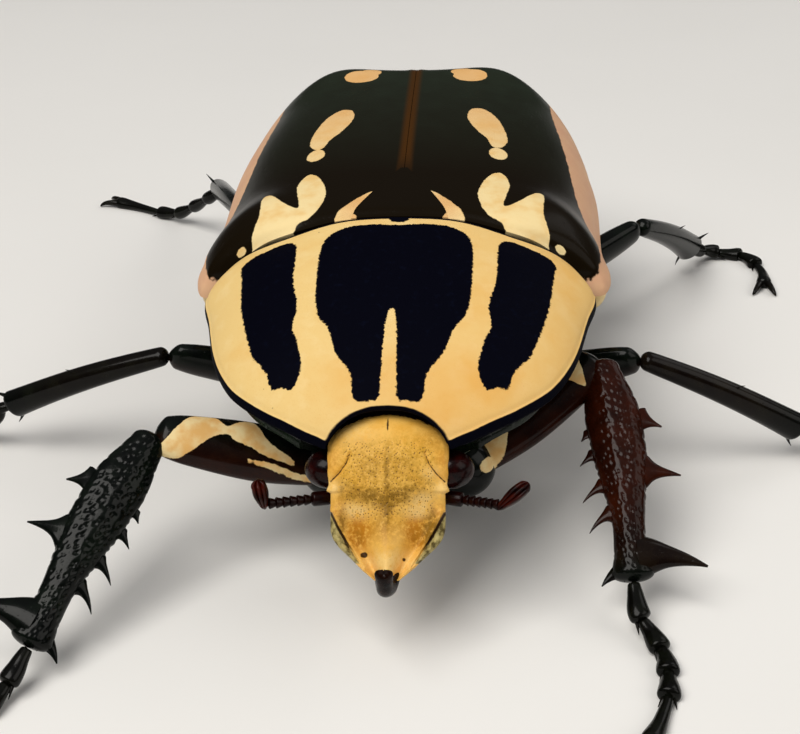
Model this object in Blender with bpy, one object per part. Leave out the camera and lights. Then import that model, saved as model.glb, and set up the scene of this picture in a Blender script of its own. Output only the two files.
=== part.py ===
"""A male torquata flower beetle of the ugandensis kind, alive and standing on its six legs, at life size.

The animal faces -Y, its left side is at +X, and the floor is at z = 0. Sizes are in millimetres, and MM
turns them into metres. The body is laid out with the front edge of the pronotum at y = 0, and one empty
then carries the whole beetle to its place over the origin.
"""

import math

import bmesh
import bpy
import numpy as np
from mathutils import Vector

MM = 0.001
GAP = 0.3  # clear space kept between neighbouring pieces
SIDES = {"left": 1.0, "right": -1.0}

# Trunk
PRONOTUM_LENGTH = 17.0
PRONOTUM_HALF_WIDTH = 13.3
PRONOTUM_TOP = 20.0  # height of its hind edge above the floor
PRONOTUM_THICK = (1.0, 1.7)  # at the side margin, and along the middle
ELYTRA_LENGTH = 37.4
ELYTRA_HALF_WIDTH = 14.5
ELYTRA_TOP = 20.5
ELYTRA_THICK = 0.9
SCUTELLUM_LENGTH = 7.2
SCUTELLUM_HALF_WIDTH = 3.3
SCUTELLUM_THICK = 1.6
BELLY_HEIGHT = 3.4
THORAX_END = 31.0
ABDOMEN_END = 51.6
STERNITES = 5
STERNITE_STEP = 0.22

# Head, in its own frame: along the face from the crown, across it, and out of it
CROWN = (0.0, 0.45, 14.7)
FACE_TILT = math.radians(52.0)
FACE_LENGTH = 10.3
HEAD_HALF_WIDTH = 3.75
NECK_CENTRE = (0.0, 2.4, 10.9)
NECK_RADII = (4.0, 3.2, 3.8)
EYE_RADII = (1.45, 1.2, 1.5)
EYE_CENTRE = (3.75, 3.5, -1.8)
HORN_PATH = [(0, 10.0, -0.7), (0, 10.7, 0.0), (0, 10.8, 0.9), (0, 10.4, 1.8), (0, 9.8, 2.6)]
HORN_FOOT = 1.03  # how high the horn's foot is notched out round the front edge of the face
HORN_HALF_WIDTHS = [(0, 0.85), (0.5, 0.62), (1, 0.62)]
HORN_HALF_DEPTHS = [(0, 0.6), (0.5, 0.5), (1, 0.33)]
ANTENNA_ROOT = (3.3, 5.2, -1.9)
ANTENNAE = {  # where the club starts, and its reach from there
    "left": ((6.9, 5.75, -0.9), (1.6, -1.3, 0.4)),
    "right": ((7.5, 5.75, -0.4), (0.25, -1.35, 1.2)),
}

# Outlines: (share of the way, share of the driving size), joined by one smooth curve
PRONOTUM_WIDTHS = [(0, 0.28), (0.05, 0.41), (0.15, 0.58), (0.3, 0.755), (0.5, 0.88), (0.75, 0.965),
                   (0.93, 1.0), (1, 0.97)]
PRONOTUM_HEIGHTS = [(0, 0.76), (0.25, 0.865), (0.5, 0.935), (0.75, 0.98), (1, 1.0)]
PRONOTUM_MARGINS = [(0, 0.68), (0.3, 0.70), (0.7, 0.73), (1, 0.745)]
ELYTRA_WIDTHS = [(0, 0.86), (0.05, 0.97), (0.11, 1.0), (0.25, 0.985), (0.5, 1.0), (0.7, 0.965),
                 (0.83, 0.87), (0.93, 0.66), (1, 0.36)]
ELYTRA_HEIGHTS = [(0, 0.985), (0.2, 1.0), (0.5, 1.015), (0.75, 1.01), (0.88, 0.9), (0.96, 0.73), (1, 0.61)]
ELYTRA_MARGINS = [(0, 0.69), (0.1, 0.69), (0.2, 0.645), (0.5, 0.615), (0.85, 0.575), (1, 0.56)]
FACE_WIDTHS = [(0, 0.45), (0.05, 0.63), (0.1, 0.78), (0.15, 0.9), (0.21, 0.98), (0.355, 0.985),
               (0.44, 0.955), (0.475, 0.985), (0.5, 0.92), (0.62, 0.93), (0.7, 0.925), (0.75, 0.89),
               (0.8, 0.8), (0.87, 0.58), (0.94, 0.38), (1, 0.2)]
FACE_PROFILE = [(0, -0.9), (0.06, -0.25), (0.15, 0.2), (0.3, 0.5), (0.46, 0.5), (0.56, 0.15),
                (0.7, -0.05), (0.88, 0.05), (1, 0.25)]
HEAD_DEPTHS = [(0, 4.2), (0.3, 5.0), (0.5, 4.2), (0.75, 2.5), (1, 1.1)]

# Legs: each joint's place, (across, along, up), with across measured outwards from the middle line
LEGS = {
    "front_left": dict(
        hip=(4.2, 6.6, 6.6), knee=(13.5, 11.6, 11.8), ankle=(15.1, -1.0, 2.9),
        foot=[(15.3, -2.6, 1.9), (16.1, -4.0, 1.1), (16.8, -6.2, 0.75), (16.7, -8.6, 0.75),
              (16.0, -11.2, 0.75), (15.1, -13.4, 0.8)],
    ),
    "front_right": dict(
        hip=(4.2, 6.6, 6.6), knee=(15.5, 4.5, 10.4), ankle=(21.8, -7.6, 2.7),
        foot=[(22.4, -8.8, 1.9), (23.3, -10.5, 1.1), (24.4, -12.6, 0.75), (25.3, -14.9, 0.75),
              (26.0, -17.3, 0.75), (26.4, -19.2, 0.8)],
    ),
    "middle_left": dict(
        hip=(4.6, 19.6, 5.2), knee=(16.7, 16.4, 9.3), ankle=(28.6, 17.6, 2.7),
        foot=[(29.8, 17.8, 2.0), (31.5, 18.4, 1.1), (33.5, 19.4, 0.75), (35.4, 20.7, 0.75),
              (37.1, 22.2, 0.75), (38.4, 23.5, 0.8)],
    ),
    "middle_right": dict(
        hip=(4.6, 19.6, 5.2), knee=(17.0, 17.2, 9.3), ankle=(29.8, 18.7, 4.2),
        foot=[(31.0, 18.9, 3.2), (32.7, 19.6, 1.8), (34.7, 20.7, 0.8), (36.5, 22.0, 0.75),
              (38.2, 23.5, 0.75), (39.4, 24.9, 0.8)],
    ),
    "hind_left": dict(
        hip=(4.8, 29.0, 5.0), knee=(18.3, 37.4, 10.0), ankle=(24.0, 48.6, 2.8),
        foot=[(24.9, 50.2, 1.9), (26.6, 51.6, 1.1), (28.6, 51.6, 0.75), (30.0, 49.8, 0.75),
              (30.4, 47.4, 0.75), (30.2, 45.2, 0.8)],
    ),
    "hind_right": dict(
        hip=(4.8, 29.0, 5.0), knee=(14.7, 41.8, 9.4), ankle=(19.2, 55.4, 6.0),
        foot=[(20.4, 56.8, 4.9), (22.6, 59.0, 2.9), (25.2, 61.2, 1.2), (27.8, 63.0, 0.75),
              (30.2, 64.4, 0.75), (31.9, 65.2, 0.8)],
    ),
}
COXA_RADII = {"front": (2.3, 1.9, 2.2), "middle": (2.7, 2.1, 1.9), "hind": (3.6, 1.9, 1.6)}
FEMUR_RADII = {"front": (1.95, 1.25), "middle": (1.7, 1.1), "hind": (1.9, 1.2)}
FEMUR_SWELL = [(0, 0.62), (0.12, 0.8), (0.45, 1.0), (0.8, 0.86), (0.94, 0.7), (1, 0.42)]
TIBIA_RADII = {"front": (1.85, 1.05), "middle": (1.02, 0.85), "hind": (1.1, 0.85)}
TIBIA_SWELL = {
    "front": [(0, 0.55), (0.08, 0.68), (0.28, 1.0), (0.45, 0.95), (0.6, 0.76), (0.78, 0.56), (0.88, 0.6),
              (1, 0.8)],
    "middle": [(0, 0.62), (0.1, 0.72), (0.5, 0.95), (0.85, 1.1), (1, 1.2)],
    "hind": [(0, 0.62), (0.1, 0.72), (0.5, 0.95), (0.85, 1.1), (1, 1.2)],
}
# Teeth: share along the tibia, reach beyond its axis (positive outwards), lean to the foot, base radius
TEETH = {
    "front": [(0.29, 3.3, 0.9, 0.8), (0.53, 4.0, 0.7, 0.95), (0.9, 4.7, 1.2, 1.5), (0.31, -2.0, 0.8, 0.4),
              (0.42, -2.3, 0.8, 0.5), (0.57, -2.45, 1.0, 0.5), (0.7, -2.3, 1.1, 0.5),
              (0.95, -2.0, 0.8, 0.75)],
    "middle": [(0.5, 1.8, 0.7, 0.4), (0.95, 2.0, 0.9, 0.5), (0.95, -2.0, 1.3, 0.42)],
    "hind": [(0.52, 1.8, 0.7, 0.4), (0.95, 2.1, 0.9, 0.5), (0.95, -2.1, 1.4, 0.42)],
}
TARSUS_RADIUS = 0.72
CLAW_LENGTH = 2.0
CLAW_RADIUS = 0.34
FOOT_FLAT = 0.34  # the soles are cut flat at this height, which then becomes the floor

COLOURS = {  # base colour and roughness
    "cream": ((0.80, 0.55, 0.24), 0.45),
    "velvet_black": ((0.010, 0.011, 0.012), 0.35),
    "gloss_black": ((0.008, 0.007, 0.007), 0.18),
    "horn_brown": ((0.03, 0.012, 0.006), 0.2),
    "eye_brown": ((0.025, 0.006, 0.004), 0.1),
    "underside_green": ((0.012, 0.02, 0.010), 0.25),
}


def through(keys, t):
    """The smooth curve through (place, value) keys, which never swings past a key."""
    x, y = np.array(keys, float).T
    step, slope = np.diff(x), np.diff(y) / np.diff(x)
    m = np.concatenate([slope[:1], np.zeros(len(x) - 2), slope[-1:]])
    same = slope[:-1] * slope[1:] > 0
    m[1:-1][same] = 2 * (slope[:-1] * slope[1:])[same] / (slope[:-1] + slope[1:])[same]
    t = np.clip(np.asarray(t, float), x[0], x[-1])
    i = np.clip(np.searchsorted(x, t, side="right") - 1, 0, len(step) - 1)
    s, h = (t - x[i]) / step[i], step[i]
    ahead, behind = (3 - 2 * s) * s * s, (1 + 2 * s) * (1 - s) ** 2
    return behind * y[i] + ahead * y[i + 1] + s * (1 - s) ** 2 * h * m[i] - s * s * (1 - s) * h * m[i + 1]


def hind_edge(x):
    """Where the pronotum ends and the elytra begin: a shallow bay in the middle, rounded hind corners."""
    share = np.abs(x) / PRONOTUM_HALF_WIDTH
    return PRONOTUM_LENGTH + 0.5 * share**1.5 - 2.4 * share**4


def pronotum_top(u, v):
    """The pronotum's upper face: u from -1 to 1 across, v from 0 at the head to 1 at the elytra."""
    x = PRONOTUM_HALF_WIDTH * through(PRONOTUM_WIDTHS, v) * u
    front = -1.3 * np.abs(u) ** 2.5
    y = front + (hind_edge(PRONOTUM_HALF_WIDTH * u * 0.97) - front) * v
    top = PRONOTUM_TOP * through(PRONOTUM_HEIGHTS, v)
    margin = PRONOTUM_TOP * through(PRONOTUM_MARGINS, v)
    z = margin + (top - margin) * (1 - np.abs(u) ** 2.3) ** 0.62
    return np.stack([x, y, z], -1)


def bump(u, v, at, size):
    """A rounded swelling, 1 at its middle and fading away with distance."""
    return np.exp(-(((u - at[0]) / size[0]) ** 2) - ((v - at[1]) / size[1]) ** 2)


def elytron_top(u, v):
    """The left elytron's upper face: u from 0 at the seam to 1 at the side, v from 0 at its base to 1."""
    x = ELYTRA_HALF_WIDTH * through(ELYTRA_WIDTHS, v) * u
    start = hind_edge(x) + GAP + 0.1
    y = start + (PRONOTUM_LENGTH + ELYTRA_LENGTH - 1.2 * u**3 - start) * v
    top = ELYTRA_TOP * through(ELYTRA_HEIGHTS, v)
    margin = ELYTRA_TOP * through(ELYTRA_MARGINS, v)
    z = margin + (top - margin) * (1 - u**3.0) ** 0.55
    z = z + 0.45 * bump(u, v, (0.72, 0.1), (0.2, 0.08)) + 0.8 * bump(u, v, (0.55, 0.8), (0.25, 0.09))
    return np.stack([x, y, z], -1)


def facing(points):
    """Unit normals of a grid of points, from the cross product of its two directions, upwards."""
    across, along = np.gradient(points, axis=1), np.gradient(points, axis=0)
    n = np.cross(across, along)
    n /= np.linalg.norm(n, axis=-1, keepdims=True) + 1e-12
    return n * np.where(n[..., 2:].mean() < 0, -1.0, 1.0)


def material(name):
    colour, rough = COLOURS[name]
    made = bpy.data.materials.get(name) or bpy.data.materials.new(name)
    made.use_nodes = True
    shader = made.node_tree.nodes["Principled BSDF"]
    shader.inputs["Base Color"].default_value = (*colour, 1.0)
    shader.inputs["Roughness"].default_value = rough
    made.diffuse_color = (*colour, 1.0)
    return made


def solid(name, points, faces, colour="gloss_black"):
    """An object from points in millimetres and faces, with its faces turned outwards."""
    mesh = bpy.data.meshes.new(name)
    mesh.from_pydata([tuple(p) for p in np.asarray(points, float) * MM], [], faces)
    shape = bmesh.new()
    shape.from_mesh(mesh)
    bmesh.ops.recalc_face_normals(shape, faces=shape.faces)
    shape.to_mesh(mesh)
    shape.free()
    mesh.shade_smooth()
    mesh.set_sharp_from_angle(angle=math.radians(40))
    mesh.materials.append(material(colour))
    made = bpy.data.objects.new(name, mesh)
    bpy.context.scene.collection.objects.link(made)
    return made


def slab(name, upper, lower, colour):
    """A closed plate between two grids of points, rows along the body and columns across it."""
    rows, columns = upper.shape[:2]
    total = rows * columns

    def at(row, column):
        return row * columns + column

    faces = []
    for r in range(rows - 1):
        for c in range(columns - 1):
            ring = [at(r, c), at(r, c + 1), at(r + 1, c + 1), at(r + 1, c)]
            faces += [ring, [total + i for i in reversed(ring)]]
    border = [at(0, c) for c in range(columns)]
    border += [at(r, columns - 1) for r in range(1, rows)]
    border += [at(rows - 1, c) for c in range(columns - 2, -1, -1)]
    border += [at(r, 0) for r in range(rows - 2, 0, -1)]
    for a, b in zip(border, border[1:] + border[:1]):
        faces.append([b, a, total + a, total + b])
    return solid(name, np.concatenate([upper.reshape(-1, 3), lower.reshape(-1, 3)]), faces, colour)


def loft(name, rings, colour="gloss_black"):
    """A closed body through rings of points, its two ends closed by fans."""
    rings = np.asarray(rings, float)
    count, around = rings.shape[:2]
    points = np.concatenate([rings.reshape(-1, 3), [rings[0].mean(0), rings[-1].mean(0)]])
    faces = []
    for i in range(around):
        j = (i + 1) % around
        for r in range(count - 1):
            faces.append([r * around + i, r * around + j, (r + 1) * around + j, (r + 1) * around + i])
        faces.append([count * around, j, i])
        faces.append([count * around + 1, (count - 1) * around + i, (count - 1) * around + j])
    return solid(name, points, faces, colour)


def along(path, places):
    """Points at shares of a path's length, on a smooth curve through the path's own points."""
    path = np.asarray(path, float)
    length = np.concatenate([[0], np.cumsum(np.linalg.norm(np.diff(path, axis=0), axis=1))])
    return np.stack([through(list(zip(length / length[-1], path[:, k])), places) for k in range(3)], -1)


def tube(name, centres, broad, radii, colour="gloss_black", around=10):
    """A tube along centres; radii holds a broad and a thin radius for each, and broad is the broad way."""
    centres, radii = np.asarray(centres, float), np.asarray(radii, float)
    ahead = np.gradient(centres, axis=0)
    ahead /= np.linalg.norm(ahead, axis=1, keepdims=True)
    wide = np.asarray(broad, float) - ahead * (ahead @ np.asarray(broad, float))[:, None]
    wide /= np.linalg.norm(wide, axis=1, keepdims=True)
    thin = np.cross(ahead, wide)
    turn = np.linspace(0, 2 * np.pi, around, endpoint=False)
    ring = np.cos(turn)[None, :, None] * (wide * radii[:, :1])[:, None]
    ring = ring + np.sin(turn)[None, :, None] * (thin * radii[:, 1:])[:, None]
    return loft(name, centres[:, None] + ring, colour)


def ball(name, centre, radii, colour, across=12, down=8, place=np.array):
    """An ellipsoid through rings of points, which place may carry from another frame."""
    turn = np.linspace(0, 2 * np.pi, across, endpoint=False)
    rise = np.linspace(-np.pi / 2, np.pi / 2, down + 1)[1:-1, None]
    ring = np.cos(rise) * np.cos(turn), np.cos(rise) * np.sin(turn), np.sin(rise)
    rings = np.stack(np.broadcast_arrays(*ring), -1)
    made = loft(name, place(rings * radii + centre), colour)
    for pole, end in zip(made.data.vertices[-2:], (-1, 1)):
        pole.co = Vector(place(np.array(centre) + [0, 0, end * radii[2]])) * MM
    return made


def biggest_part(mesh):
    """Keeps only the largest closed surface of a mesh, without the scraps that touch it along an edge."""
    shape = bmesh.new()
    shape.from_mesh(mesh)
    bmesh.ops.triangulate(shape, faces=shape.faces)
    bmesh.ops.remove_doubles(shape, verts=shape.verts, dist=0.0002 * MM)
    left, parts = set(shape.faces), []
    while left:
        found, edge = set(), [left.pop()]
        while edge:
            triangle = edge.pop()
            found.add(triangle)
            near = {f for e in triangle.edges if len(e.link_faces) == 2 for f in e.link_faces} & left
            left -= near
            edge += near
        parts.append(found)
    if len(parts) > 1:
        keep = max(parts, key=lambda faces: sum(f.calc_area() for f in faces))
        bmesh.ops.delete(shape, geom=[f for f in shape.faces if f not in keep], context="FACES")
    shape.to_mesh(mesh)
    shape.free()


def settle(made):
    """Applies an object's modifiers."""
    graph = bpy.context.evaluated_depsgraph_get()
    mesh = bpy.data.meshes.new_from_object(made.evaluated_get(graph), depsgraph=graph)
    made.modifiers.clear()
    old, made.data = made.data, mesh
    bpy.data.meshes.remove(old)
    biggest_part(made.data)


def fused(made, pieces):
    """Joins overlapping pieces to made with one Boolean union, and removes them."""
    group = bpy.data.collections.new(made.name + "_pieces")
    bpy.context.scene.collection.children.link(group)
    for piece in pieces:
        bpy.context.scene.collection.objects.unlink(piece)
        group.objects.link(piece)
    join = made.modifiers.new("join", "BOOLEAN")
    join.operation, join.solver = "UNION", "MANIFOLD"
    join.operand_type, join.collection = "COLLECTION", group
    settle(made)
    for piece in pieces:
        bpy.data.objects.remove(piece)
    bpy.data.collections.remove(group)
    return made


def clear_of(made, *neighbours, gap=GAP):
    """Cuts made back from its neighbours, so that the gap stays open between them."""
    for neighbour in neighbours:
        cutter = neighbour.copy()
        cutter.data = neighbour.data.copy()
        bpy.context.scene.collection.objects.link(cutter)
        outwards = [n.vector.copy() for n in cutter.data.vertex_normals]
        for vertex, normal in zip(cutter.data.vertices, outwards):
            vertex.co += normal * gap * 1.25 * MM
        cut = made.modifiers.new("clear", "BOOLEAN")
        cut.operation, cut.object, cut.solver = "DIFFERENCE", cutter, "MANIFOLD"
        settle(made)
        bpy.data.objects.remove(cutter)
    return made


def pronotum():
    """The shield behind the head; its columns crowd towards the margins, where it bends most."""
    columns = np.sin(np.linspace(-1, 1, 23) * 1.35) / math.sin(1.35)
    u, v = np.meshgrid(columns, [0, 0.04, 0.1, 0.2, 0.33, 0.47, 0.62, 0.76, 0.87, 0.94, 1])
    upper = pronotum_top(u, v)
    rim, middle = PRONOTUM_THICK
    lower = upper - np.stack([0 * u, 0 * u, rim + (middle - rim) * (1 - u**2)], -1)
    return slab("pronotum", upper, lower, "cream")


def prosternum():
    """The underside of the first body ring, from the side margins in to the hips of the front legs."""
    u, v = np.meshgrid(np.linspace(-1, 1, 11), np.linspace(0.06, 0.985, 6))
    upper = pronotum_top(u * 0.94, v)
    rim, middle = PRONOTUM_THICK
    upper[..., 2] -= rim + (middle - rim) * (1 - (u * 0.94) ** 2) + GAP + 0.05
    lower = upper.copy()
    keel = 6.0 + 2.6 * (1 - v) ** 2
    lower[..., 2] = keel + (upper[..., 2] - 0.5 - keel) * np.abs(u) ** 1.6
    return slab("prosternum", upper, lower, "underside_green")


def elytron(side):
    """One wing case, of even thickness; the two leave one gap between them along the seam."""
    columns = [0, 0.12, 0.28, 0.45, 0.6, 0.72, 0.82, 0.9, 0.96, 1.0]
    rows = [0, 0.03, 0.07, 0.12, 0.2, 0.32, 0.45, 0.58, 0.68, 0.76, 0.82, 0.88, 0.93, 0.97, 1.0]
    u, v = np.meshgrid(columns, rows)
    upper = elytron_top(u, v)
    lower = upper - facing(upper) * ELYTRA_THICK
    flip = np.array([SIDES[side], 1, 1])
    for grid in (upper, lower):
        grid[:, 0, 0] = GAP / 2
    lower[0, :, 1], lower[-1, :, 1] = upper[0, :, 1], upper[-1, :, 1] - 0.3
    return slab(f"elytron_{side}", upper * flip, lower * flip, "velvet_black")


def scutellum():
    """The triangular plate between the elytra, just behind the pronotum."""
    rows = np.linspace(0, 1, 7)
    u, v = np.meshgrid(np.linspace(-1, 1, 7), rows)
    half = SCUTELLUM_HALF_WIDTH * (1 - v**1.15 * 0.93)
    x = half * u
    y = hind_edge(x) + GAP + 0.1 + v * SCUTELLUM_LENGTH
    z = ELYTRA_TOP * through(ELYTRA_HEIGHTS, v * 0.2) + 0.12 - 0.25 * u**2
    upper = np.stack([x, y, z], -1)
    return slab("scutellum", upper, upper - [0, 0, SCUTELLUM_THICK], "velvet_black")


def belly(u, y, half, side_height, floor):
    """A cross-section of the underside: flat in the middle, rising to the sides."""
    return np.stack([half * u, y, floor + (side_height - floor) * np.abs(u) ** 2.6], -1)


def under_elytra(u, y):
    """The upper face of what the elytra cover, one gap below their inner face."""
    v = np.clip((y - PRONOTUM_LENGTH) / ELYTRA_LENGTH, 0, 1)
    half = ELYTRA_HALF_WIDTH * through(ELYTRA_WIDTHS, v) - ELYTRA_THICK - GAP - 0.4
    top = ELYTRA_TOP * through(ELYTRA_HEIGHTS, v) - ELYTRA_THICK - GAP - 0.4
    margin = ELYTRA_TOP * through(ELYTRA_MARGINS, v) + 0.2
    z = margin + (top - margin) * (1 - np.abs(u) ** 2.6) ** 0.6
    return np.stack([half * u, y, z], -1), half, margin


def thorax():
    """The second and third body rings, which carry the middle and hind legs."""
    u, w = np.meshgrid(np.linspace(-1, 1, 13), np.linspace(0, 1, 7))
    start = hind_edge(0.93 * ELYTRA_HALF_WIDTH * u) + 0.1
    y = start + (THORAX_END - start) * w
    upper, half, margin = under_elytra(u, y)
    lower = belly(u, y, half * 0.97, margin - 0.6, BELLY_HEIGHT + 2.0 * np.clip(1 - w * 2.5, 0, 1) ** 2)
    trunk = slab("thorax", upper, lower, "underside_green")
    shoulders = [ball("shoulder", (13.1 * s, 18.3, 13.9), (1.2, 1.5, 1.5), "cream") for s in (1, -1)]
    return fused(trunk, shoulders)


def abdomen():
    """The hind body, with the edge of each belly plate a little proud of the next."""
    edges = np.linspace(THORAX_END + GAP, ABDOMEN_END, STERNITES + 1)
    steps, middles = edges[1:-1] + 0.25, (edges[1:] + edges[:-1]) / 2
    rows = sorted([*edges, *steps, *middles])
    u, y = np.meshgrid(np.linspace(-1, 1, 13), rows)
    upper, half, margin = under_elytra(u, y)
    share = (y - edges[0]) / (edges[-1] - edges[0])
    ring = np.clip(np.searchsorted(edges + 0.2, y), 1, STERNITES)
    floor = BELLY_HEIGHT + 4.6 * share**2.2 + STERNITE_STEP * (ring - share * STERNITES)
    lower = belly(u, y, half * 0.96, margin - 0.5, floor)
    return slab("abdomen", upper, lower, "underside_green")


def pygidium():
    """The last back plate, which the elytra leave bare: a rounded triangle closing the body behind."""
    u, w = np.meshgrid(np.linspace(-1, 1, 11), np.linspace(0, 1, 7))
    half = 6.6 * (1 - w**2.2 * 0.86)
    y = ABDOMEN_END + 1.0 + 1.9 * w * (1.5 - w) - 0.2 * u**2
    z = 11.6 - 4.6 * w + 0.3 * (1 - u**2)
    outer = np.stack([half * u, y + 0.9 * (1 - u**2) * (1 - (2 * w - 1) ** 2), z], -1)
    inner = np.stack([half * u * 0.96, np.full_like(y, ABDOMEN_END + GAP), z], -1)
    return slab("pygidium", outer, inner, "cream")


def face(points):
    """Carries points of the head's own frame, (across, along the face, out of it), to the beetle's."""
    points = np.asarray(points, float)
    down = np.array([0, -math.cos(FACE_TILT), -math.sin(FACE_TILT)])
    out = np.array([0, -math.sin(FACE_TILT), math.cos(FACE_TILT)])
    return np.array(CROWN) + points[..., :1] * [1, 0, 0] + points[..., 1:2] * down + points[..., 2:] * out


def face_relief(u, s):
    """How far the face stands out: domed brow, mid ridge down to the horn, two hollows, raised edges."""
    low = np.clip((s - 0.5) / 0.3, 0, 1)
    ridge = 0.45 * low * np.exp(-((u / 0.25) ** 2))
    hollow = 0.55 * low * np.exp(-(((np.abs(u) - 0.55) / 0.22) ** 2))
    edge = 0.35 * low * np.exp(-(((np.abs(u) - 0.92) / 0.12) ** 2))
    return through(FACE_PROFILE, s) - 0.75 * u**2 * (1 - 0.5 * low) + ridge - hollow + edge


def head():
    """The long face with its underside, fused with the neck that goes into the pronotum."""
    stations = [0, 0.04, 0.09, 0.15, 0.22, 0.32, 0.41, 0.475, 0.51, 0.58, 0.65, 0.72, 0.79, 0.86, 0.93, 1]
    u, s = np.meshgrid(np.linspace(-1, 1, 15), stations)
    half = HEAD_HALF_WIDTH * through(FACE_WIDTHS, s)
    top = face_relief(u, s)
    depth = through(HEAD_DEPTHS, s) * (0.55 + 0.45 * (1 - u**2))
    upper = face(np.stack([half * u, s * FACE_LENGTH, top], -1))
    lower = face(np.stack([half * u * 0.93, s * FACE_LENGTH, top - depth], -1))
    neck = ball("neck", NECK_CENTRE, NECK_RADII, "velvet_black", 14, 8)
    return fused(slab("head", upper, lower, "cream"), [neck])


def eye(side):
    centre = np.array(EYE_CENTRE) * [SIDES[side], 1, 1]
    return ball(f"eye_{side}", centre, EYE_RADII, "eye_brown", 12, 8, place=face)


def horn():
    """The short horn: it leaves the face forwards, turns up, and ends in two blunt lobes.

    A notch keeps it one gap off the front edge of the face.
    """
    t = np.linspace(0, 1, 7)
    centres = along(HORN_PATH, t)
    ahead = np.gradient(centres, axis=0)
    ahead /= np.linalg.norm(ahead, axis=1, keepdims=True)
    across = np.array([1.0, 0, 0])
    back = np.cross(ahead, across)
    turn = np.linspace(0, 2 * np.pi, 12, endpoint=False)
    wide, deep = through(HORN_HALF_WIDTHS, t), through(HORN_HALF_DEPTHS, t)
    lobes = 0.3 * (t**6)[:, None] * (np.cos(turn) ** 2 - 0.6)
    rings = centres[:, None] + (wide[:, None] * np.cos(turn))[..., None] * across
    rings = rings + (deep[:, None] * np.sin(turn))[..., None] * back[:, None]
    rings = rings + lobes[..., None] * ahead[:, None]
    made = loft("horn", face(rings), "horn_brown")
    brow = [[(x, y, z) for x, z in ((-1.5, -2.5), (1.5, -2.5), (1.5, HORN_FOOT), (-1.5, HORN_FOOT))]
            for y in (8.0, FACE_LENGTH + 1.1 * GAP)]
    notch = loft("notch", face(brow))
    clear_of(made, notch, gap=0)
    bpy.data.objects.remove(notch)
    return made


def antenna(side):
    """Scape, six small beads and a club of closed leaves, held out to the side."""
    tip, reach = (np.array(v) for v in ANTENNAE[side])
    mirror, root = np.array([SIDES[side], 1, 1]), np.array(ANTENNA_ROOT)
    t = np.linspace(0, 1, 21)
    scape, beads = 0.45 - 0.1 * (t / 0.34 - 0.6) ** 2, 0.31 + 0.06 * np.cos(2 * np.pi * (t - 0.4) / 0.12)
    radius = np.where(t < 0.34, scape, beads)
    path = face((root + (tip - root) * t[:, None]) * mirror)
    stalk = tube(f"antenna_{side}", path, (0, 0, 1), np.stack([radius, radius], -1), "horn_brown", 8)
    t = np.linspace(0, 1, 7)
    swell = np.sin(np.pi * (0.1 + 0.84 * t)) ** 0.6
    path = face((tip + reach * (-0.22 + 1.22 * t[:, None])) * mirror)
    flat = face([0, 0, 1]) - face([0, 0, 0])
    club = tube("club", path, flat, np.stack([0.6 * swell, 0.55 * swell], -1), "horn_brown", 10)
    return fused(stalk, [club])


def mouthparts():
    """Jaws and feelers tucked under the front of the head."""
    chin = ball("mouthparts", (0, 5.6, -3.9), (2.1, 1.5, 1.5), "horn_brown", 10, 6, place=face)
    palps = []
    for s in (1, -1):
        path = [[1.2 * s, 6.2, -4.2], [1.7 * s, 7.2, -4.0], [1.9 * s, 8.2, -3.6], [1.6 * s, 9.0, -3.2]]
        centres = along(face(path), np.linspace(0, 1, 7))
        radii = [[r, r] for r in (0.4, 0.42, 0.34, 0.4, 0.42, 0.36, 0.2)]
        palps.append(tube("palp", centres, (1, 0, 0), radii, around=7))
    return fused(chin, palps)


def leg_frame(name):
    """A leg's joints in the beetle's frame, and the way its outer edge faces below the knee."""
    leg, s = LEGS[name], SIDES[name.split("_")[1]]
    hip, knee, ankle = (np.array(leg[k], float) * [s, 1, 1] for k in ("hip", "knee", "ankle"))
    foot = np.array(leg["foot"], float) * [s, 1, 1]
    shin = (ankle - knee) / np.linalg.norm(ankle - knee)
    back = hip - knee
    outer = -(back - shin * (back @ shin))
    return hip, knee, ankle, foot, outer / np.linalg.norm(outer)


def coxa(name):
    """The hip, an egg in the body's socket."""
    hip, kind = leg_frame(name)[0], name.split("_")[0]
    return ball(f"{name}_coxa", tuple(hip), COXA_RADII[kind], "gloss_black", 12, 6)


def femur(name):
    """The thigh, a spindle that is broad in the plane of the knee's bend."""
    hip, knee, ankle, _, _ = leg_frame(name)
    broad, thin = FEMUR_RADII[name.split("_")[0]]
    t = np.array([0, 0.08, 0.2, 0.35, 0.5, 0.65, 0.8, 0.9, 0.96, 1.0])
    swell = through(FEMUR_SWELL, t)[:, None]
    centres = hip + (knee - hip) * t[:, None]
    bend = np.cross(knee - hip, np.cross(ankle - knee, knee - hip))
    return tube(f"{name}_femur", centres, bend, swell * [broad, thin], "gloss_black", 12)


def tooth(root, reach, lean, radius, shin):
    """A curved spine, flattened along the tibia: it stands on the edge and bends towards the foot."""
    t = np.array([0, 0.45, 1.0])[:, None]
    centres = root + reach * t + shin * lean * t**2
    size = radius * np.array([1.0, 0.5, 0.08])
    return tube("tooth", centres, shin, np.stack([size, size * 0.65], -1), around=6)


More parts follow.
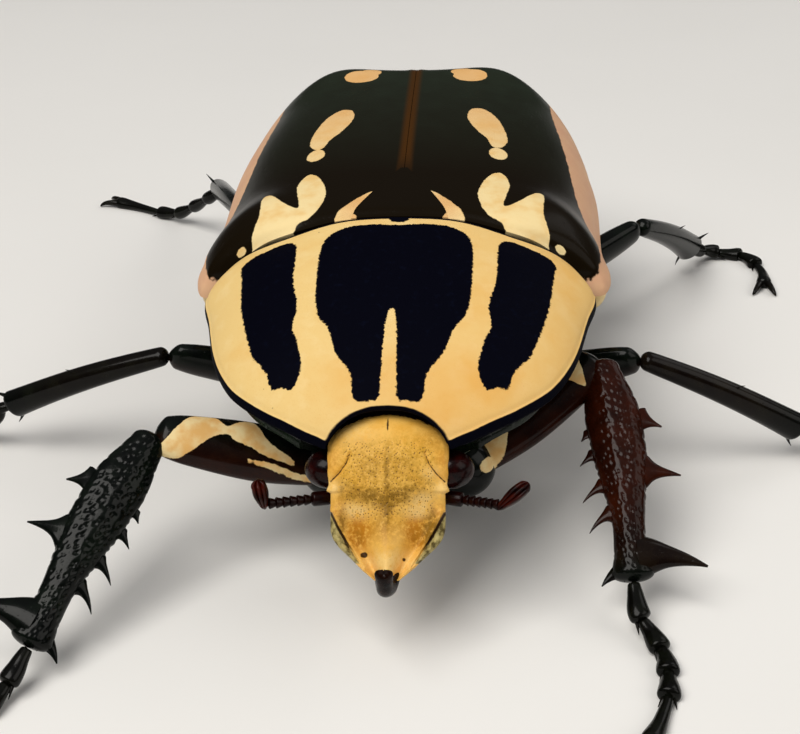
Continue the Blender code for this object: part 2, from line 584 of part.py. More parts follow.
def tibia(name):
    """The shin, flat and broad on the front legs, fused with its teeth."""
    _, knee, ankle, _, outer = leg_frame(name)
    kind = name.split("_")[0]
    broad, thin = TIBIA_RADII[kind]
    t = np.linspace(0, 1, 10)
    swell = through(TIBIA_SWELL[kind], t)
    curve = 0.35 * np.sin(np.pi * t)[:, None] * outer
    centres = knee + (ankle - knee) * t[:, None] + curve
    radii = np.stack([broad * swell, thin * (0.55 + 0.45 * swell)], -1)
    made = tube(f"{name}_tibia", centres, outer, radii, "gloss_black", 10)
    shin = (ankle - knee) / np.linalg.norm(ankle - knee)
    teeth = []
    for share, reach, lean, radius in TEETH[kind]:
        edge = outer * math.copysign(1, reach)
        root = knee + (ankle - knee) * share + edge * 0.3 * broad
        teeth.append(tooth(root, edge * (abs(reach) - 0.3 * broad), lean, radius, shin))
    return fused(made, teeth)


def tarsus(name):
    """Five bell-shaped pieces and a pair of curved claws, with flats where they stand on the floor."""
    _, knee, ankle, foot, _ = leg_frame(name)
    shin = (ankle - knee) / np.linalg.norm(ankle - knee)
    path = np.concatenate([[ankle + shin * GAP, ankle + shin * (GAP + 0.5)], foot])
    ends = np.array([0, 0.19, 0.36, 0.52, 0.68, 1.0])
    places, radii = [], []
    for a, b in zip(ends[:-1], ends[1:]):
        places += [a + 0.02 * (a > 0), a + 0.45 * (b - a), b - 0.02]
        radii += [0.62, 0.78, 1.0]
    centres = along(path, np.array(places))
    radii = TARSUS_RADIUS * np.array(radii)
    radii = np.stack([radii * 0.85, radii], -1)
    made = tube(f"{name}_tarsus", centres, (0, 0, 1), radii, "gloss_black", 7)
    ahead = centres[-1] - centres[-3]
    ahead /= np.linalg.norm(ahead)
    aside = np.cross(ahead, [0, 0, 1])
    claws = []
    for s in (1, -1):
        t = np.linspace(0, 1, 5)[:, None]
        reach = ahead * CLAW_LENGTH * np.sin(1.35 * t) + aside * s * (0.25 + 0.75 * t)
        curl = np.array([0, 0, 1]) * (0.8 * t**2 - 0.4 * t)
        size = CLAW_RADIUS * np.array([1.0, 0.9, 0.72, 0.5, 0.15])
        path = centres[-1] - ahead * 0.3 + reach - curl
        claws.append(tube("claw", path, (0, 0, 1), np.stack([size, size], -1), around=6))
    fused(made, claws)
    for vertex in made.data.vertices:
        vertex.co.z = max(vertex.co.z, FOOT_FLAT * MM)
    return made


def stand_over_origin(pieces):
    """Carries the whole beetle on one empty, so that the origin is on the floor under its middle."""
    corners = np.array([piece.matrix_world @ v.co for piece in pieces for v in piece.data.vertices])
    middle = (corners.min(0) + corners.max(0)) / 2
    carrier = bpy.data.objects.new("beetle", None)
    bpy.context.scene.collection.objects.link(carrier)
    carrier.location = (-middle[0], -middle[1], -corners[:, 2].min())
    for piece in pieces:
        piece.parent = carrier


def main():
    for old in list(bpy.data.objects):
        bpy.data.objects.remove(old)
    skull, shield, chest = head(), pronotum(), prosternum()
    trunk, hind, plate = thorax(), abdomen(), scutellum()
    wings = [clear_of(elytron(side), plate) for side in SIDES]
    for covered in (trunk, hind):
        clear_of(covered, *wings)
    eyes = [eye(side) for side in SIDES]
    feelers = [clear_of(antenna(side), skull, *eyes) for side in SIDES]
    jaws = clear_of(mouthparts(), skull)
    clear_of(skull, *eyes)
    clear_of(shield, skull)
    clear_of(shield, *eyes)
    clear_of(chest, shield, skull, jaws, *eyes)
    clear_of(trunk, plate, shield, chest)
    spike, tail = horn(), clear_of(pygidium(), *wings)
    pieces = [skull, shield, chest, trunk, hind, plate, *wings, *eyes, *feelers, jaws, spike, tail]
    for name in LEGS:
        hip, thigh, shin, foot = coxa(name), femur(name), tibia(name), tarsus(name)
        ring = chest if name.startswith("front") else trunk
        clear_of(ring, hip)
        clear_of(thigh, hip, ring)
        clear_of(shin, thigh)
        if name.startswith("hind"):
            clear_of(hind, thigh)
        pieces += [hip, thigh, shin, foot]
    bpy.context.view_layer.update()
    stand_over_origin(pieces)


main()
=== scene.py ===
# %% [markdown]
# # A flower beetle at life size
# A male flower beetle stands on its six legs: cream plates with black velvet patches, black wing cases,
# glossy legs. Its solids come packed as a fixed frame. Each one shows the form of a part but not its fine
# edges, so every part is made again here from the same formulas, on grids fine enough for pits and rims.
# The imported solids stay for collision, hidden.

# %% Load the frame
import math
import bpy
import numpy as np
from mathutils import Matrix, Vector


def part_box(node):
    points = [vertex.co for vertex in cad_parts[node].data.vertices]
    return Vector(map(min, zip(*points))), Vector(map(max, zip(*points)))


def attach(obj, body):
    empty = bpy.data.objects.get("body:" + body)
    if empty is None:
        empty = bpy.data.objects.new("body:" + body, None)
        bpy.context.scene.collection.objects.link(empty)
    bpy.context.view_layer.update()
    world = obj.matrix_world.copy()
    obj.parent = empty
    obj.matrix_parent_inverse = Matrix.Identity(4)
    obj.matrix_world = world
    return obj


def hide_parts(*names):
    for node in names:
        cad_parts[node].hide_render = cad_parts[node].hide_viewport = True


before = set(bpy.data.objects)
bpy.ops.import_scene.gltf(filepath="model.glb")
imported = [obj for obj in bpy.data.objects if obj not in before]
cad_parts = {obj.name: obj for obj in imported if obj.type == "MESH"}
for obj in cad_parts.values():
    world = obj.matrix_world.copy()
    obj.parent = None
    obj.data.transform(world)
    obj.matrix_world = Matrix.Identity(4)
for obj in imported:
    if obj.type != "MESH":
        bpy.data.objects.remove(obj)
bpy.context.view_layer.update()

# %% [markdown]
# ## One set of millimetres
# The shapes are easiest to think of in the beetle's own millimetres: across, along from the front edge of
# the pronotum, and up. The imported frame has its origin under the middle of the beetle, so every point is
# carried over by one shift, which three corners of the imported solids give.

# %% Carry millimetres into the frame
MM = 0.001
PRONOTUM_TOP = 20.0
PRONOTUM_LENGTH = 17.0
ELYTRA_LENGTH = 37.4
SEAM_HALF_GAP = 0.15
shift = np.array([
    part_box("elytron_left")[0][0] / MM - SEAM_HALF_GAP,
    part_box("elytron_left")[1][1] / MM - (PRONOTUM_LENGTH + ELYTRA_LENGTH),
    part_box("pronotum")[1][2] / MM - PRONOTUM_TOP,
])
FLOOR = -shift[2]
print("shift in mm:", shift.round(3))

# %% [markdown]
# ## Smooth curves through a few named values
# Outlines and heights are given at a few shares of the way, and one smooth curve joins them. The curve never
# swings past a value, so a beetle's margin has no ripples that the numbers don't ask for. Everything else on
# the beetle is a sum of a few plain shapes: a bell, a swelling and a straight rise.


# %% Curves
def through(keys, t):
    """The smooth curve through (place, value) keys, a cubic that stays between each two of them."""
    x, y = np.array(keys, float).T
    step, slope = np.diff(x), np.diff(y) / np.diff(x)
    m = np.concatenate([slope[:1], np.zeros(len(x) - 2), slope[-1:]])
    same = slope[:-1] * slope[1:] > 0
    m[1:-1][same] = 2 * (slope[:-1] * slope[1:])[same] / (slope[:-1] + slope[1:])[same]
    t = np.clip(np.asarray(t, float), x[0], x[-1])
    i = np.clip(np.searchsorted(x, t, side="right") - 1, 0, len(step) - 1)
    s, h = (t - x[i]) / step[i], step[i]
    ahead, behind = (3 - 2 * s) * s * s, (1 + 2 * s) * (1 - s) ** 2
    return behind * y[i] + ahead * y[i + 1] + s * (1 - s) ** 2 * h * m[i] - s * s * (1 - s) * h * m[i + 1]


def along(path, places):
    """Points at shares of a path's length, on the smooth curve through the path's own points."""
    path = np.asarray(path, float)
    length = np.concatenate([[0], np.cumsum(np.linalg.norm(np.diff(path, axis=0), axis=1))])
    return np.stack([through(list(zip(length / length[-1], part)), places) for part in path.T], -1)


def bell(distance, width):
    """A rounded ridge: e to the power of minus (distance / width) squared."""
    return np.exp(-((distance / width) ** 2))


def bump(u, v, at, size):
    """A rounded swelling: 1 at its middle, falling with the square of the distance as a bell does."""
    return np.exp(-(((u - at[0]) / size[0]) ** 2) - ((v - at[1]) / size[1]) ** 2)


def rise(value, span=1.0):
    """A straight rise: 0 below zero, value / span after it, and 1 above span."""
    return np.clip(value / span, 0, 1)


def crowded(start, count, bend):
    """Places from start to 1 that crowd towards 1 and -1, as the sine of even steps up to bend does."""
    return np.sin(np.linspace(start, 1, count) * bend) / math.sin(bend)


def full_turn(count):
    """Even angles once round, in radians."""
    return np.linspace(0, 2 * np.pi, count, endpoint=False)


# %% [markdown]
# ## From grids of points to closed meshes
# Every form is a grid of points worked out with numpy. A plate is two grids, one over the other, joined round
# their border. A limb is a stack of rings with a fan over each end. Both come out as plain arrays of points
# and faces, so several of them can share one object, and each is turned by the sign of its own volume so
# that its faces point outwards.


# %% Plates and limbs as arrays
def faced_outwards(points, quads, triangles):
    """Turns every face over when the volume under them, the sum of a . (b x c) / 6, comes out negative."""
    three = np.concatenate([quads[:, [0, 1, 2]], quads[:, [0, 2, 3]], triangles])
    a, b, c = (points[three[:, k]] for k in range(3))
    if (a * np.cross(b, c)).sum() < 0:
        quads, triangles = quads[:, ::-1], triangles[:, ::-1]
    return quads, triangles


def plate(upper, lower, **fields):
    """A closed plate between two grids; fields are numbers per grid point, carried on to both faces."""
    rows, columns = upper.shape[:2]
    place = np.arange(rows * columns).reshape(rows, columns)
    top = np.stack([place[:-1, :-1], place[:-1, 1:], place[1:, 1:], place[1:, :-1]], -1).reshape(-1, 4)
    edge = np.concatenate([place[0, :-1], place[:-1, -1], place[-1, :0:-1], place[:0:-1, 0]])
    after = np.roll(edge, -1)
    total = rows * columns
    side = np.stack([after, edge, edge + total, after + total], -1)
    quads = np.concatenate([top, top[:, ::-1] + total, side])
    points = np.concatenate([upper.reshape(-1, 3), lower.reshape(-1, 3)])
    quads, triangles = faced_outwards(points, quads, np.zeros((0, 3), int))
    carried = {}
    for key, field in fields.items():
        carried[key] = np.tile(np.broadcast_to(field, (rows, columns)).ravel(), 2)
    return points, quads, triangles, carried


def limb(rings, ends=None, **fields):
    """A closed body through rings of points, with a fan over each end, whose middle points ends may give."""
    count, around = rings.shape[:2]
    place = np.arange(count * around).reshape(count, around)
    turned = np.roll(place, -1, axis=1)
    quads = np.stack([place[:-1], turned[:-1], turned[1:], place[1:]], -1).reshape(-1, 4)
    first, last = np.full(around, count * around), np.full(around, count * around + 1)
    fans = np.stack([first, turned[0], place[0]], -1), np.stack([last, place[-1], turned[-1]], -1)
    if ends is None:
        ends = rings[0].mean(0), rings[-1].mean(0)
    points = np.concatenate([rings.reshape(-1, 3), ends])
    quads, triangles = faced_outwards(points, quads, np.concatenate(fans))
    carried = {}
    for key, field in fields.items():
        field = np.broadcast_to(field, (count, around))
        carried[key] = np.concatenate([field.ravel(), [field[0].mean(), field[-1].mean()]])
    return points, quads, triangles, carried


# %% [markdown]
# ## Putting the arrays into Blender
# foreach_set hands a whole array over at once, which is much quicker than one vertex at a time. The object
# stays at the origin, because its place is already in its points. A field, such as the distance to the
# edge of a marking, goes along as an attribute that the material reads.


# %% Make one object of several forms
OUTSIDE = -1.0  # a marking's distance on a form that has none of it
SHARP_ANGLE = math.radians(50)


def make(name, forms, finish):
    """One object from closed forms, in the frame's metres, that rides on the root."""
    points = np.concatenate([form[0] for form in forms])
    starts = np.cumsum([0] + [len(form[0]) for form in forms])
    quads = np.concatenate([form[1] + start for form, start in zip(forms, starts)])
    triangles = np.concatenate([form[2] + start for form, start in zip(forms, starts)])
    mesh = bpy.data.meshes.new(name)
    mesh.vertices.add(len(points))
    mesh.vertices.foreach_set("co", ((points + shift) * MM).astype(np.float32).ravel())
    corners = np.concatenate([quads.ravel(), triangles.ravel()]).astype(np.int32)
    mesh.loops.add(len(corners))
    mesh.loops.foreach_set("vertex_index", corners)
    begins = np.concatenate([np.arange(len(quads)) * 4, len(quads) * 4 + np.arange(len(triangles)) * 3])
    mesh.polygons.add(len(begins))
    mesh.polygons.foreach_set("loop_start", begins.astype(np.int32))
    mesh.update(calc_edges=True)
    for key in sorted({key for form in forms for key in form[3]}):
        values = np.concatenate([form[3].get(key, np.full(len(form[0]), OUTSIDE)) for form in forms])
        mesh.attributes.new(key, "FLOAT", "POINT").data.foreach_set("value", values.astype(np.float32))
    mesh.shade_smooth()
    mesh.set_sharp_from_angle(angle=SHARP_ANGLE)
    mesh.materials.append(finish)
    made = bpy.data.objects.new(name, mesh)
    bpy.context.scene.collection.objects.link(made)
    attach(made, "root")
    print(f"{name}: {2 * len(quads) + len(triangles)} triangles")
    return made


# %% [markdown]
# ## Markings as distances
# A marking's edge is a closed line through a few points on the plate, seen from above. What the mesh keeps
# is not a picture of it but, at each vertex, the distance to that line, above zero inside. The material
# then finds the edge where the distance crosses zero, so it is sharp between two vertices, and a little
# noise added to the distance makes it ragged, as the edges of the velvet patches are.


# %% Distances to outlines and lines
def closed_curve(points, steps=6):
    """A closed smooth line: each stretch is a cubic set by its two ends and their neighbours."""
    p = np.asarray(points, float)
    before, a, b, after = (np.roll(p, k, axis=0)[:, None] for k in (1, 0, -1, -2))
    t = (np.arange(steps) / steps)[None, :, None]
    curve = 2 * a + (b - before) * t + (2 * before - 5 * a + 4 * b - after) * t**2
    curve = curve + (3 * (a - b) + after - before) * t**3
    return (curve / 2).reshape(-1, 2)


def line_distance(x, y, line):
    """The distance from every point to an open line of straight stretches."""
    best = np.full(np.shape(x), 1e9)
    for (ax, ay), (bx, by) in zip(line[:-1], line[1:]):
        dx, dy = bx - ax, by - ay
        t = np.clip(((x - ax) * dx + (y - ay) * dy) / (dx * dx + dy * dy + 1e-12), 0, 1)
        best = np.minimum(best, np.hypot(x - ax - dx * t, y - ay - dy * t))
    return best


def inside(x, y, points, smooth=True):
    """The distance to a closed outline, above zero inside it and below zero outside."""
    line = closed_curve(points) if smooth else np.asarray(points, float)
    ring = np.concatenate([line, line[:1]])
    within = np.zeros(np.shape(x), bool)
    for (ax, ay), (bx, by) in zip(ring[:-1], ring[1:]):
        if ay != by:
            within ^= ((ay > y) != (by > y)) & (x < (bx - ax) * (y - ay) / (by - ay) + ax)
    return line_distance(x, y, ring) * np.where(within, 1.0, -1.0)


PIT_TILE = 64  # the draw of pits comes back after this many squares


def pits(a, b, spacing, size, seed, keep):
    """Round pits, one to a square of a grid and each moved off its middle: 1 at a pit, 0 between them.
    A pit falls off as a bell of the given size, and keep is the share of the squares that have one."""
    draw = np.random.default_rng(seed)
    tile = (PIT_TILE, PIT_TILE)
    off = draw.uniform(-0.4, 0.4, (*tile, 2))
    depth = draw.uniform(0.5, 1.0, tile) * (draw.random(tile) < keep)
    column, row = np.floor(a / spacing).astype(int), np.floor(b / spacing).astype(int)
    best = np.zeros(np.shape(a))
    for i in (-1, 0, 1):
        for j in (-1, 0, 1):
            p, q = (column + i) % PIT_TILE, (row + j) % PIT_TILE
            da = a - (column + i + 0.5 + off[p, q, 0]) * spacing
            db = b - (row + j + 0.5 + off[p, q, 1]) * spacing
            best = np.maximum(best, depth[p, q] * np.exp(-2 * (da**2 + db**2) / size**2))
    return best


# %% [markdown]
# ## Shader maths in plain Python
# A material is a graph of nodes. Writing a * b + c with overloaded operators, where each operation adds
# its Math node, keeps the recipe as readable as the sum it stands for. Every other node comes from one
# method that takes its type, its settings and what goes into its sockets.


# %% A small language for materials
class Wire:
    """One output of a shader node; sums, differences and products of wires add Math nodes."""

    def __init__(self, finish, socket):
        self.finish, self.socket = finish, socket

    def maths(self, operation, first, second):
        return self.finish.node("ShaderNodeMath", {"operation": operation}, {0: first, 1: second})

    def __add__(self, other):
        return self.maths("ADD", self, other)

    def __sub__(self, other):
        return self.maths("SUBTRACT", self, other)

    def __rsub__(self, other):
        return self.maths("SUBTRACT", other, self)

    def __mul__(self, other):
        return self.maths("MULTIPLY", self, other)

    def above(self, other):
        """The larger of the two."""
        return self.maths("MAXIMUM", self, other)

    def below(self, other):
        """The smaller of the two."""
        return self.maths("MINIMUM", self, other)

    def between(self, low, high):
        """0 below low, 1 above high, with a soft step between."""
        sockets = {0: self, 1: low, 2: high}
        return self.finish.node("ShaderNodeMapRange", {"interpolation_type": "SMOOTHSTEP"}, sockets)

    __radd__, __rmul__ = __add__, __mul__


class Finish:
    """A material in the making; fixed are values that stay the same all over, set on the shader itself."""

    def __init__(self, name, **fixed):
        self.material = bpy.data.materials.new(name)
        self.material.use_nodes = True
        self.tree = self.material.node_tree
        self.shader = self.tree.nodes["Principled BSDF"]
        for socket, value in fixed.items():
            self.shader.inputs[socket.replace("_", " ")].default_value = value
        self.place = self.node("ShaderNodeTexCoord", {}, {}, "Object")

    def node(self, kind, settings, sockets, out=0):
        """Adds a node of that kind, sets it up, fills its sockets and gives one of its outputs."""
        made = self.tree.nodes.new(kind)
        for key, value in settings.items():
            setattr(made, key, value)
        for key, value in sockets.items():
            if isinstance(value, Wire):
                self.tree.links.new(value.socket, made.inputs[key])
            else:
                made.inputs[key].default_value = value
        return Wire(self, made.outputs[out])

    def field(self, name):
        """A number that the mesh carries at each vertex."""
        return self.node("ShaderNodeAttribute", {"attribute_name": name}, {}, "Fac")

    def noise(self, size, detail=3.0, rough=0.55):
        """Cloudy noise, 0 to 1, with lumps about size millimetres across."""
        sockets = {"Vector": self.place, "Scale": 1 / (size * MM), "Detail": detail, "Roughness": rough}
        return self.node("ShaderNodeTexNoise", {}, sockets, "Fac")

    def cells(self, size):
        """The distance to the middle of the nearest cell, with cells about size millimetres across."""
        sockets = {"Vector": self.place, "Scale": 1 / (size * MM)}
        return self.node("ShaderNodeTexVoronoi", {"feature": "F1"}, sockets, "Distance")

    def mix(self, share, first, second):
        """From the first colour to the second as share goes from 0 to 1."""
        first, second = ((*c, 1.0) if isinstance(c, tuple) else c for c in (first, second))
        return self.node("ShaderNodeMix", {"data_type": "RGBA"}, {0: share, 6: first, 7: second}, 2)

    def relief(self, height, depth, under=None):
        """A bump of depth millimetres where height goes from 0 to 1."""
        sockets = {"Height": height, "Distance": depth * MM, "Strength": 1.0}
        if under:
            sockets["Normal"] = under
        return self.node("ShaderNodeBump", {}, sockets, "Normal")

    def wear(self, **sockets):
        """Wires what varies over the surface to the shader."""
        for key, value in sockets.items():
            self.tree.links.new(value.socket, self.shader.inputs[key.replace("_", " ")])
        return self.material


# %% [markdown]
# ## The cream and velvet plates
# The cream on the beetle is a thin chalky layer over black cuticle, warm and a little orange in places, and
# the black patches are a fine velvet that drinks light. Both are one material: the distance field "cream"
# chooses between them. Fine pores roughen the cream, and the edge between the two is ragged.

# %% Plate finish
CREAM = (0.755, 0.535, 0.215)
CREAM_WARM = (0.72, 0.42, 0.115)
CREAM_PALE = (0.81, 0.64, 0.33)
AMBER = (0.68, 0.31, 0.045)
DIRT = (0.05, 0.02, 0.006)
VELVET = (0.0010, 0.0011, 0.0040)
VELVET_SHEEN = (0.002, 0.003, 0.010)
SOFT_EDGE = 0.035


def ragged(finish, field, amount, size):
    """1 inside a marking and 0 outside, with an edge that noise of that size moves in and out by amount."""
    shaken = field + (finish.noise(size, 4.0, 0.65) - 0.5) * amount * 2
    return shaken.between(-SOFT_EDGE, SOFT_EDGE)


def plate_finish():
    """Cream with clouds, pores and a few dark flecks inside the markings' distance, and velvet outside it."""
    f = Finish("cream_and_velvet", Specular_IOR_Level=0.02)
    cream = ragged(f, f.field("cream"), 0.2, 0.24) * ragged(f, f.field("rim"), 0.03, 0.5)
    cloud = f.noise(3.2, 3.0).between(0.45, 0.72)
    coat = f.mix(cloud * 0.4, CREAM, CREAM_WARM)
    coat = f.mix(f.noise(1.3, 4.0).between(0.45, 0.75) * 0.35, coat, CREAM_PALE)
    coat = f.mix((f.field("warm") * (0.8 + cloud * 0.3)).below(1.0), coat, AMBER)
    pores = f.cells(0.16).between(0.0, 0.42)
    dust = f.noise(0.09, 2.0)
    coat = f.mix((1 - pores) * 0.25, coat, CREAM_WARM)
    flecks = f.cells(0.9).between(0.07, 0.03) * f.noise(2.3, 2.0).between(0.56, 0.6)
    coat = f.mix(flecks * 0.8, coat, DIRT)
    shadow = f.mix(f.noise(0.5, 2.0).between(0.55, 0.8) * 0.6, VELVET, VELVET_SHEEN)
    colour = f.mix(cream, shadow, coat)
    rough = cream * (0.38 + dust * 0.2) + (1 - cream) * (0.52 + dust * 0.2)
    normal = f.relief(pores * 0.6 + dust * 0.4, 0.012)
    normal = f.relief(cream, 0.02, normal)
    return f.wear(Base_Color=colour, Roughness=rough, Normal=normal)


cream_and_velvet = plate_finish()
print(cream_and_velvet.name, len(cream_and_velvet.node_tree.nodes), "nodes")

# %% [markdown]
# ## The pronotum
# The big shield behind the head is one arched plate, widest at its hind corners, with a narrow rolled rim.
# It is a surface of two parameters, u across and v along. The black patches on it are five outlines in
# millimetres; the spike of cream that splits the middle one comes from the front edge.

# %% The pronotum's surface
PRONOTUM_HALF_WIDTH = 13.3
PRONOTUM_WIDTHS = [(0, 0.28), (0.05, 0.415), (0.15, 0.605), (0.3, 0.775), (0.5, 0.88), (0.75, 0.95),
                    (0.93, 1.0),
                   (1, 0.97)]
PRONOTUM_HEIGHTS = [(0, 0.76), (0.25, 0.865), (0.5, 0.935), (0.75, 0.98), (1, 1.0)]
PRONOTUM_MARGINS = [(0, 0.655), (0.1, 0.685), (0.3, 0.70), (0.7, 0.73), (1, 0.745)]
GAP = 0.3


BAY_DEPTH, BAY_PLACE, BAY_WIDTH = 1.05, 0.58, 0.22


def hind_edge(x):
    """Where the pronotum ends: straight by the scutellum, a bell-shaped bay beside it, then a corner that the
    fourth power of the distance from the middle line rounds off."""
    share = np.abs(x) / PRONOTUM_HALF_WIDTH
    bay = BAY_DEPTH * bell(share - BAY_PLACE, BAY_WIDTH)
    return PRONOTUM_LENGTH + 0.5 * share**1.5 - 2.4 * share**4 - bay


def pronotum_top(u, v):
    """Height falls from the middle line to the margin as (1 - |u|^2.3)^0.62; width and heights follow v."""
    x = PRONOTUM_HALF_WIDTH * through(PRONOTUM_WIDTHS, v) * u
    front = -1.3 * np.abs(u) ** 2.5
    y = front + (hind_edge(PRONOTUM_HALF_WIDTH * u * 0.97) - front) * v
    top = PRONOTUM_TOP * through(PRONOTUM_HEIGHTS, v)
    margin = PRONOTUM_TOP * through(PRONOTUM_MARGINS, v)
    return np.stack([x, y, margin + (top - margin) * (1 - np.abs(u) ** 2.3) ** 0.62], -1)


# %% The markings of the pronotum
MIDDLE_PATCH = [(0, 15.95), (2.1, 16.1), (3.6, 15.85), (4.7, 14.8), (5.05, 13.0), (5.0, 9.3), (4.7, 6.7),
                (3.95, 5.45), (3.35, 3.6), (2.35, 2.1), (2.05, 0.5), (1.0, 0.3)]
SIDE_PATCH = [(6.9, 14.6), (8.8, 14.8), (10.45, 14.2), (10.35, 12.4), (9.85, 8.6), (8.85, 5.0), (8.3, 4.0),
              (7.65, 3.0), (7.25, 2.0), (6.6, 1.85), (5.9, 1.6), (5.45, 2.8), (5.8, 4.6), (6.25, 6.0),
              (6.1, 7.7), (6.6, 10.4)]
SPIKE = [(-0.85, 0.1), (-0.52, 0.6), (-0.47, 2.0), (-0.44, 3.6), (-0.38, 5.2), (-0.28, 6.3), (-0.12, 6.85),
         (0.12, 6.85), (0.28, 6.3), (0.38, 5.2), (0.44, 3.6), (0.47, 2.0), (0.52, 0.6), (0.85, 0.1)]


def mirrored(points):
    """An outline completed with its mirror image across the middle line."""
    return points + [(-x, y) for x, y in points[:0:-1]]


def pronotum_cream(x, y):
    """Cream everywhere apart from the patches and a small bite in the hind edge; the spike is cream again."""
    middle = inside(x, y, mirrored(MIDDLE_PATCH))
    spike = inside(x, y, SPIKE, smooth=False)
    sides = inside(np.abs(x), y, SIDE_PATCH)
    bite = 0.55 - np.hypot(x * 0.8, (y - 16.9) * 0.9)
    return np.minimum(np.minimum(-sides, -bite), np.maximum(-middle, spike))


def pronotum_form(across=250, along_it=180):
    """The arched plate, closed below, with a rolled rim: a bead 0.5 mm wide and a fine groove inside it."""
    u, v = np.meshgrid(crowded(-1, across, 1.4), np.linspace(0, 1, along_it))
    upper = pronotum_top(u, v)
    half = PRONOTUM_HALF_WIDTH * through(PRONOTUM_WIDTHS, v)
    front, back = upper[..., 1] - upper[:1, :, 1], upper[-1:, :, 1] - upper[..., 1]
    slant = np.hypot(half * (1 - np.abs(u)), upper[..., 2] - upper[:, :1, 2])
    rim = np.minimum(slant - 0.33, np.minimum(front - 0.05, back - 0.2))
    bead = 0.08 * bell(slant - 0.25, 0.2) - 0.07 * bell(slant - 0.58, 0.14)
    fold = 0.06 * bell(front, 0.2)
    upper[..., 2] += bead - fold
    ends = np.minimum(v * PRONOTUM_LENGTH, (1 - v) * PRONOTUM_LENGTH) + 0.02
    thickness = 0.15 + 0.85 * rise(np.minimum(slant, ends), 0.6) ** 0.7
    lower = upper - np.stack([0 * u, 0 * u, thickness], -1)
    x, y = upper[..., 0], upper[..., 1]
    warm = 0.45 * bump(x, y, (2.6, 0.9), (5.5, 3.2)) + 0.3 * rise(x + 1, 12)
    form = plate(upper, lower, cream=pronotum_cream(x, y), rim=rim, warm=warm)
    form[3]["rim"][x.size:] = OUTSIDE  # the lower face has no cream
    return form


pronotum = make("pronotum_plate", [pronotum_form()], cream_and_velvet)
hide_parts("pronotum")

# %% [markdown]
# ## The wing cases
# The two elytra are hard covers that meet in a straight seam. They are black with a dark green sheen that
# grows towards the tip, cream spots behind the shoulder and past the middle, and a pale pinkish stripe down
# each side. The sheen is only a shift of the base colour under a glossy coat.

# %% Wing case finish
PINK = (0.60, 0.31, 0.20)
PEACH = (0.66, 0.35, 0.13)
WING_BLACK = (0.0065, 0.004, 0.0014)
WING_GREEN = (0.022, 0.032, 0.021)
SEAM_BROWN = (0.055, 0.020, 0.0025)


def wing_finish():
    """Black that turns green towards the tip and brown along the seam, with cream spots and a pink stripe."""
    f = Finish("wing_case", Specular_IOR_Level=0.035, Coat_Roughness=0.12)
    spots = ragged(f, f.field("cream"), 0.1, 0.4)
    stripe = ragged(f, f.field("stripe"), 0.2, 0.7)
    seam = f.field("seam").between(-0.28, 0.25) * 0.9
    green = f.field("green").above(0.0)
    cloud = f.noise(1.8, 4.0)
    dark = f.mix(green * (0.4 + cloud * 0.6), WING_BLACK, WING_GREEN)
    dark = f.mix(seam, dark, SEAM_BROWN)
    coat = f.mix(f.noise(2.2, 3.0).between(0.4, 0.7) * 0.6, CREAM_PALE, CREAM_WARM)
    coat = f.mix((green * 1.4 + f.field("peach")).below(0.75), coat, PEACH)
    colour = f.mix(stripe, f.mix(spots, dark, coat), f.mix(cloud * 0.4, PINK, CREAM_PALE))
    pale = spots.above(stripe)
    dust = f.noise(0.12, 2.0)
    rough = pale * (0.4 + dust * 0.15) + (1 - pale) * (0.24 + cloud * 0.12)
    pores = f.cells(0.42).between(0.0, 0.3)
    normal = f.relief(pores, 0.01)
    normal = f.relief(pale * 0.6 + dust * 0.2, 0.02, normal)
    return f.wear(Base_Color=colour, Roughness=rough, Coat_Weight=(1 - pale) * 0.05, Normal=normal)


wing_case = wing_finish()

# %% The surface of a wing case
ELYTRA_HALF_WIDTH = 14.5
ELYTRA_TOP = 20.5
ELYTRA_THICK = 0.9
ELYTRA_WIDTHS = [(0, 0.86), (0.05, 0.97), (0.11, 1.0), (0.25, 0.985), (0.5, 1.0), (0.7, 0.965), (0.83, 0.87),
                 (0.93, 0.66), (1, 0.36)]
ELYTRA_HEIGHTS = [(0, 0.985), (0.2, 1.0), (0.5, 1.015), (0.75, 1.01), (0.88, 0.9), (0.96, 0.73), (1, 0.61)]
ELYTRA_MARGINS = [(0, 0.69), (0.1, 0.69), (0.2, 0.645), (0.5, 0.615), (0.85, 0.575), (1, 0.56)]


def covers_begin(x):
    """Where the wing cases and the scutellum begin: one gap and a little more behind the pronotum."""
    return hind_edge(x) + GAP + 0.1


def elytron_top(u, v):
    """u from the seam to the side, v from base to tip; two swellings, at the shoulder and before the tip."""
    x = ELYTRA_HALF_WIDTH * through(ELYTRA_WIDTHS, v) * u
    start = covers_begin(x)
    y = start + (PRONOTUM_LENGTH + ELYTRA_LENGTH - 1.2 * u**3 - start) * v
    top = ELYTRA_TOP * through(ELYTRA_HEIGHTS, v)
    margin = ELYTRA_TOP * through(ELYTRA_MARGINS, v)
    z = margin + (top - margin) * (1 - u**3.0) ** 0.55
    z = z + 0.45 * bump(u, v, (0.72, 0.1), (0.2, 0.08)) + 0.8 * bump(u, v, (0.55, 0.8), (0.25, 0.09))
    return np.stack([x, y, z], -1)


def facing(points):
    """Unit normals of a grid, from the cross product of its two directions, turned upwards."""
    normal = np.cross(np.gradient(points, axis=1), np.gradient(points, axis=0))
    normal /= np.linalg.norm(normal, axis=-1, keepdims=True) + 1e-12
    return normal * np.where(normal[..., 2:].mean() < 0, -1.0, 1.0)


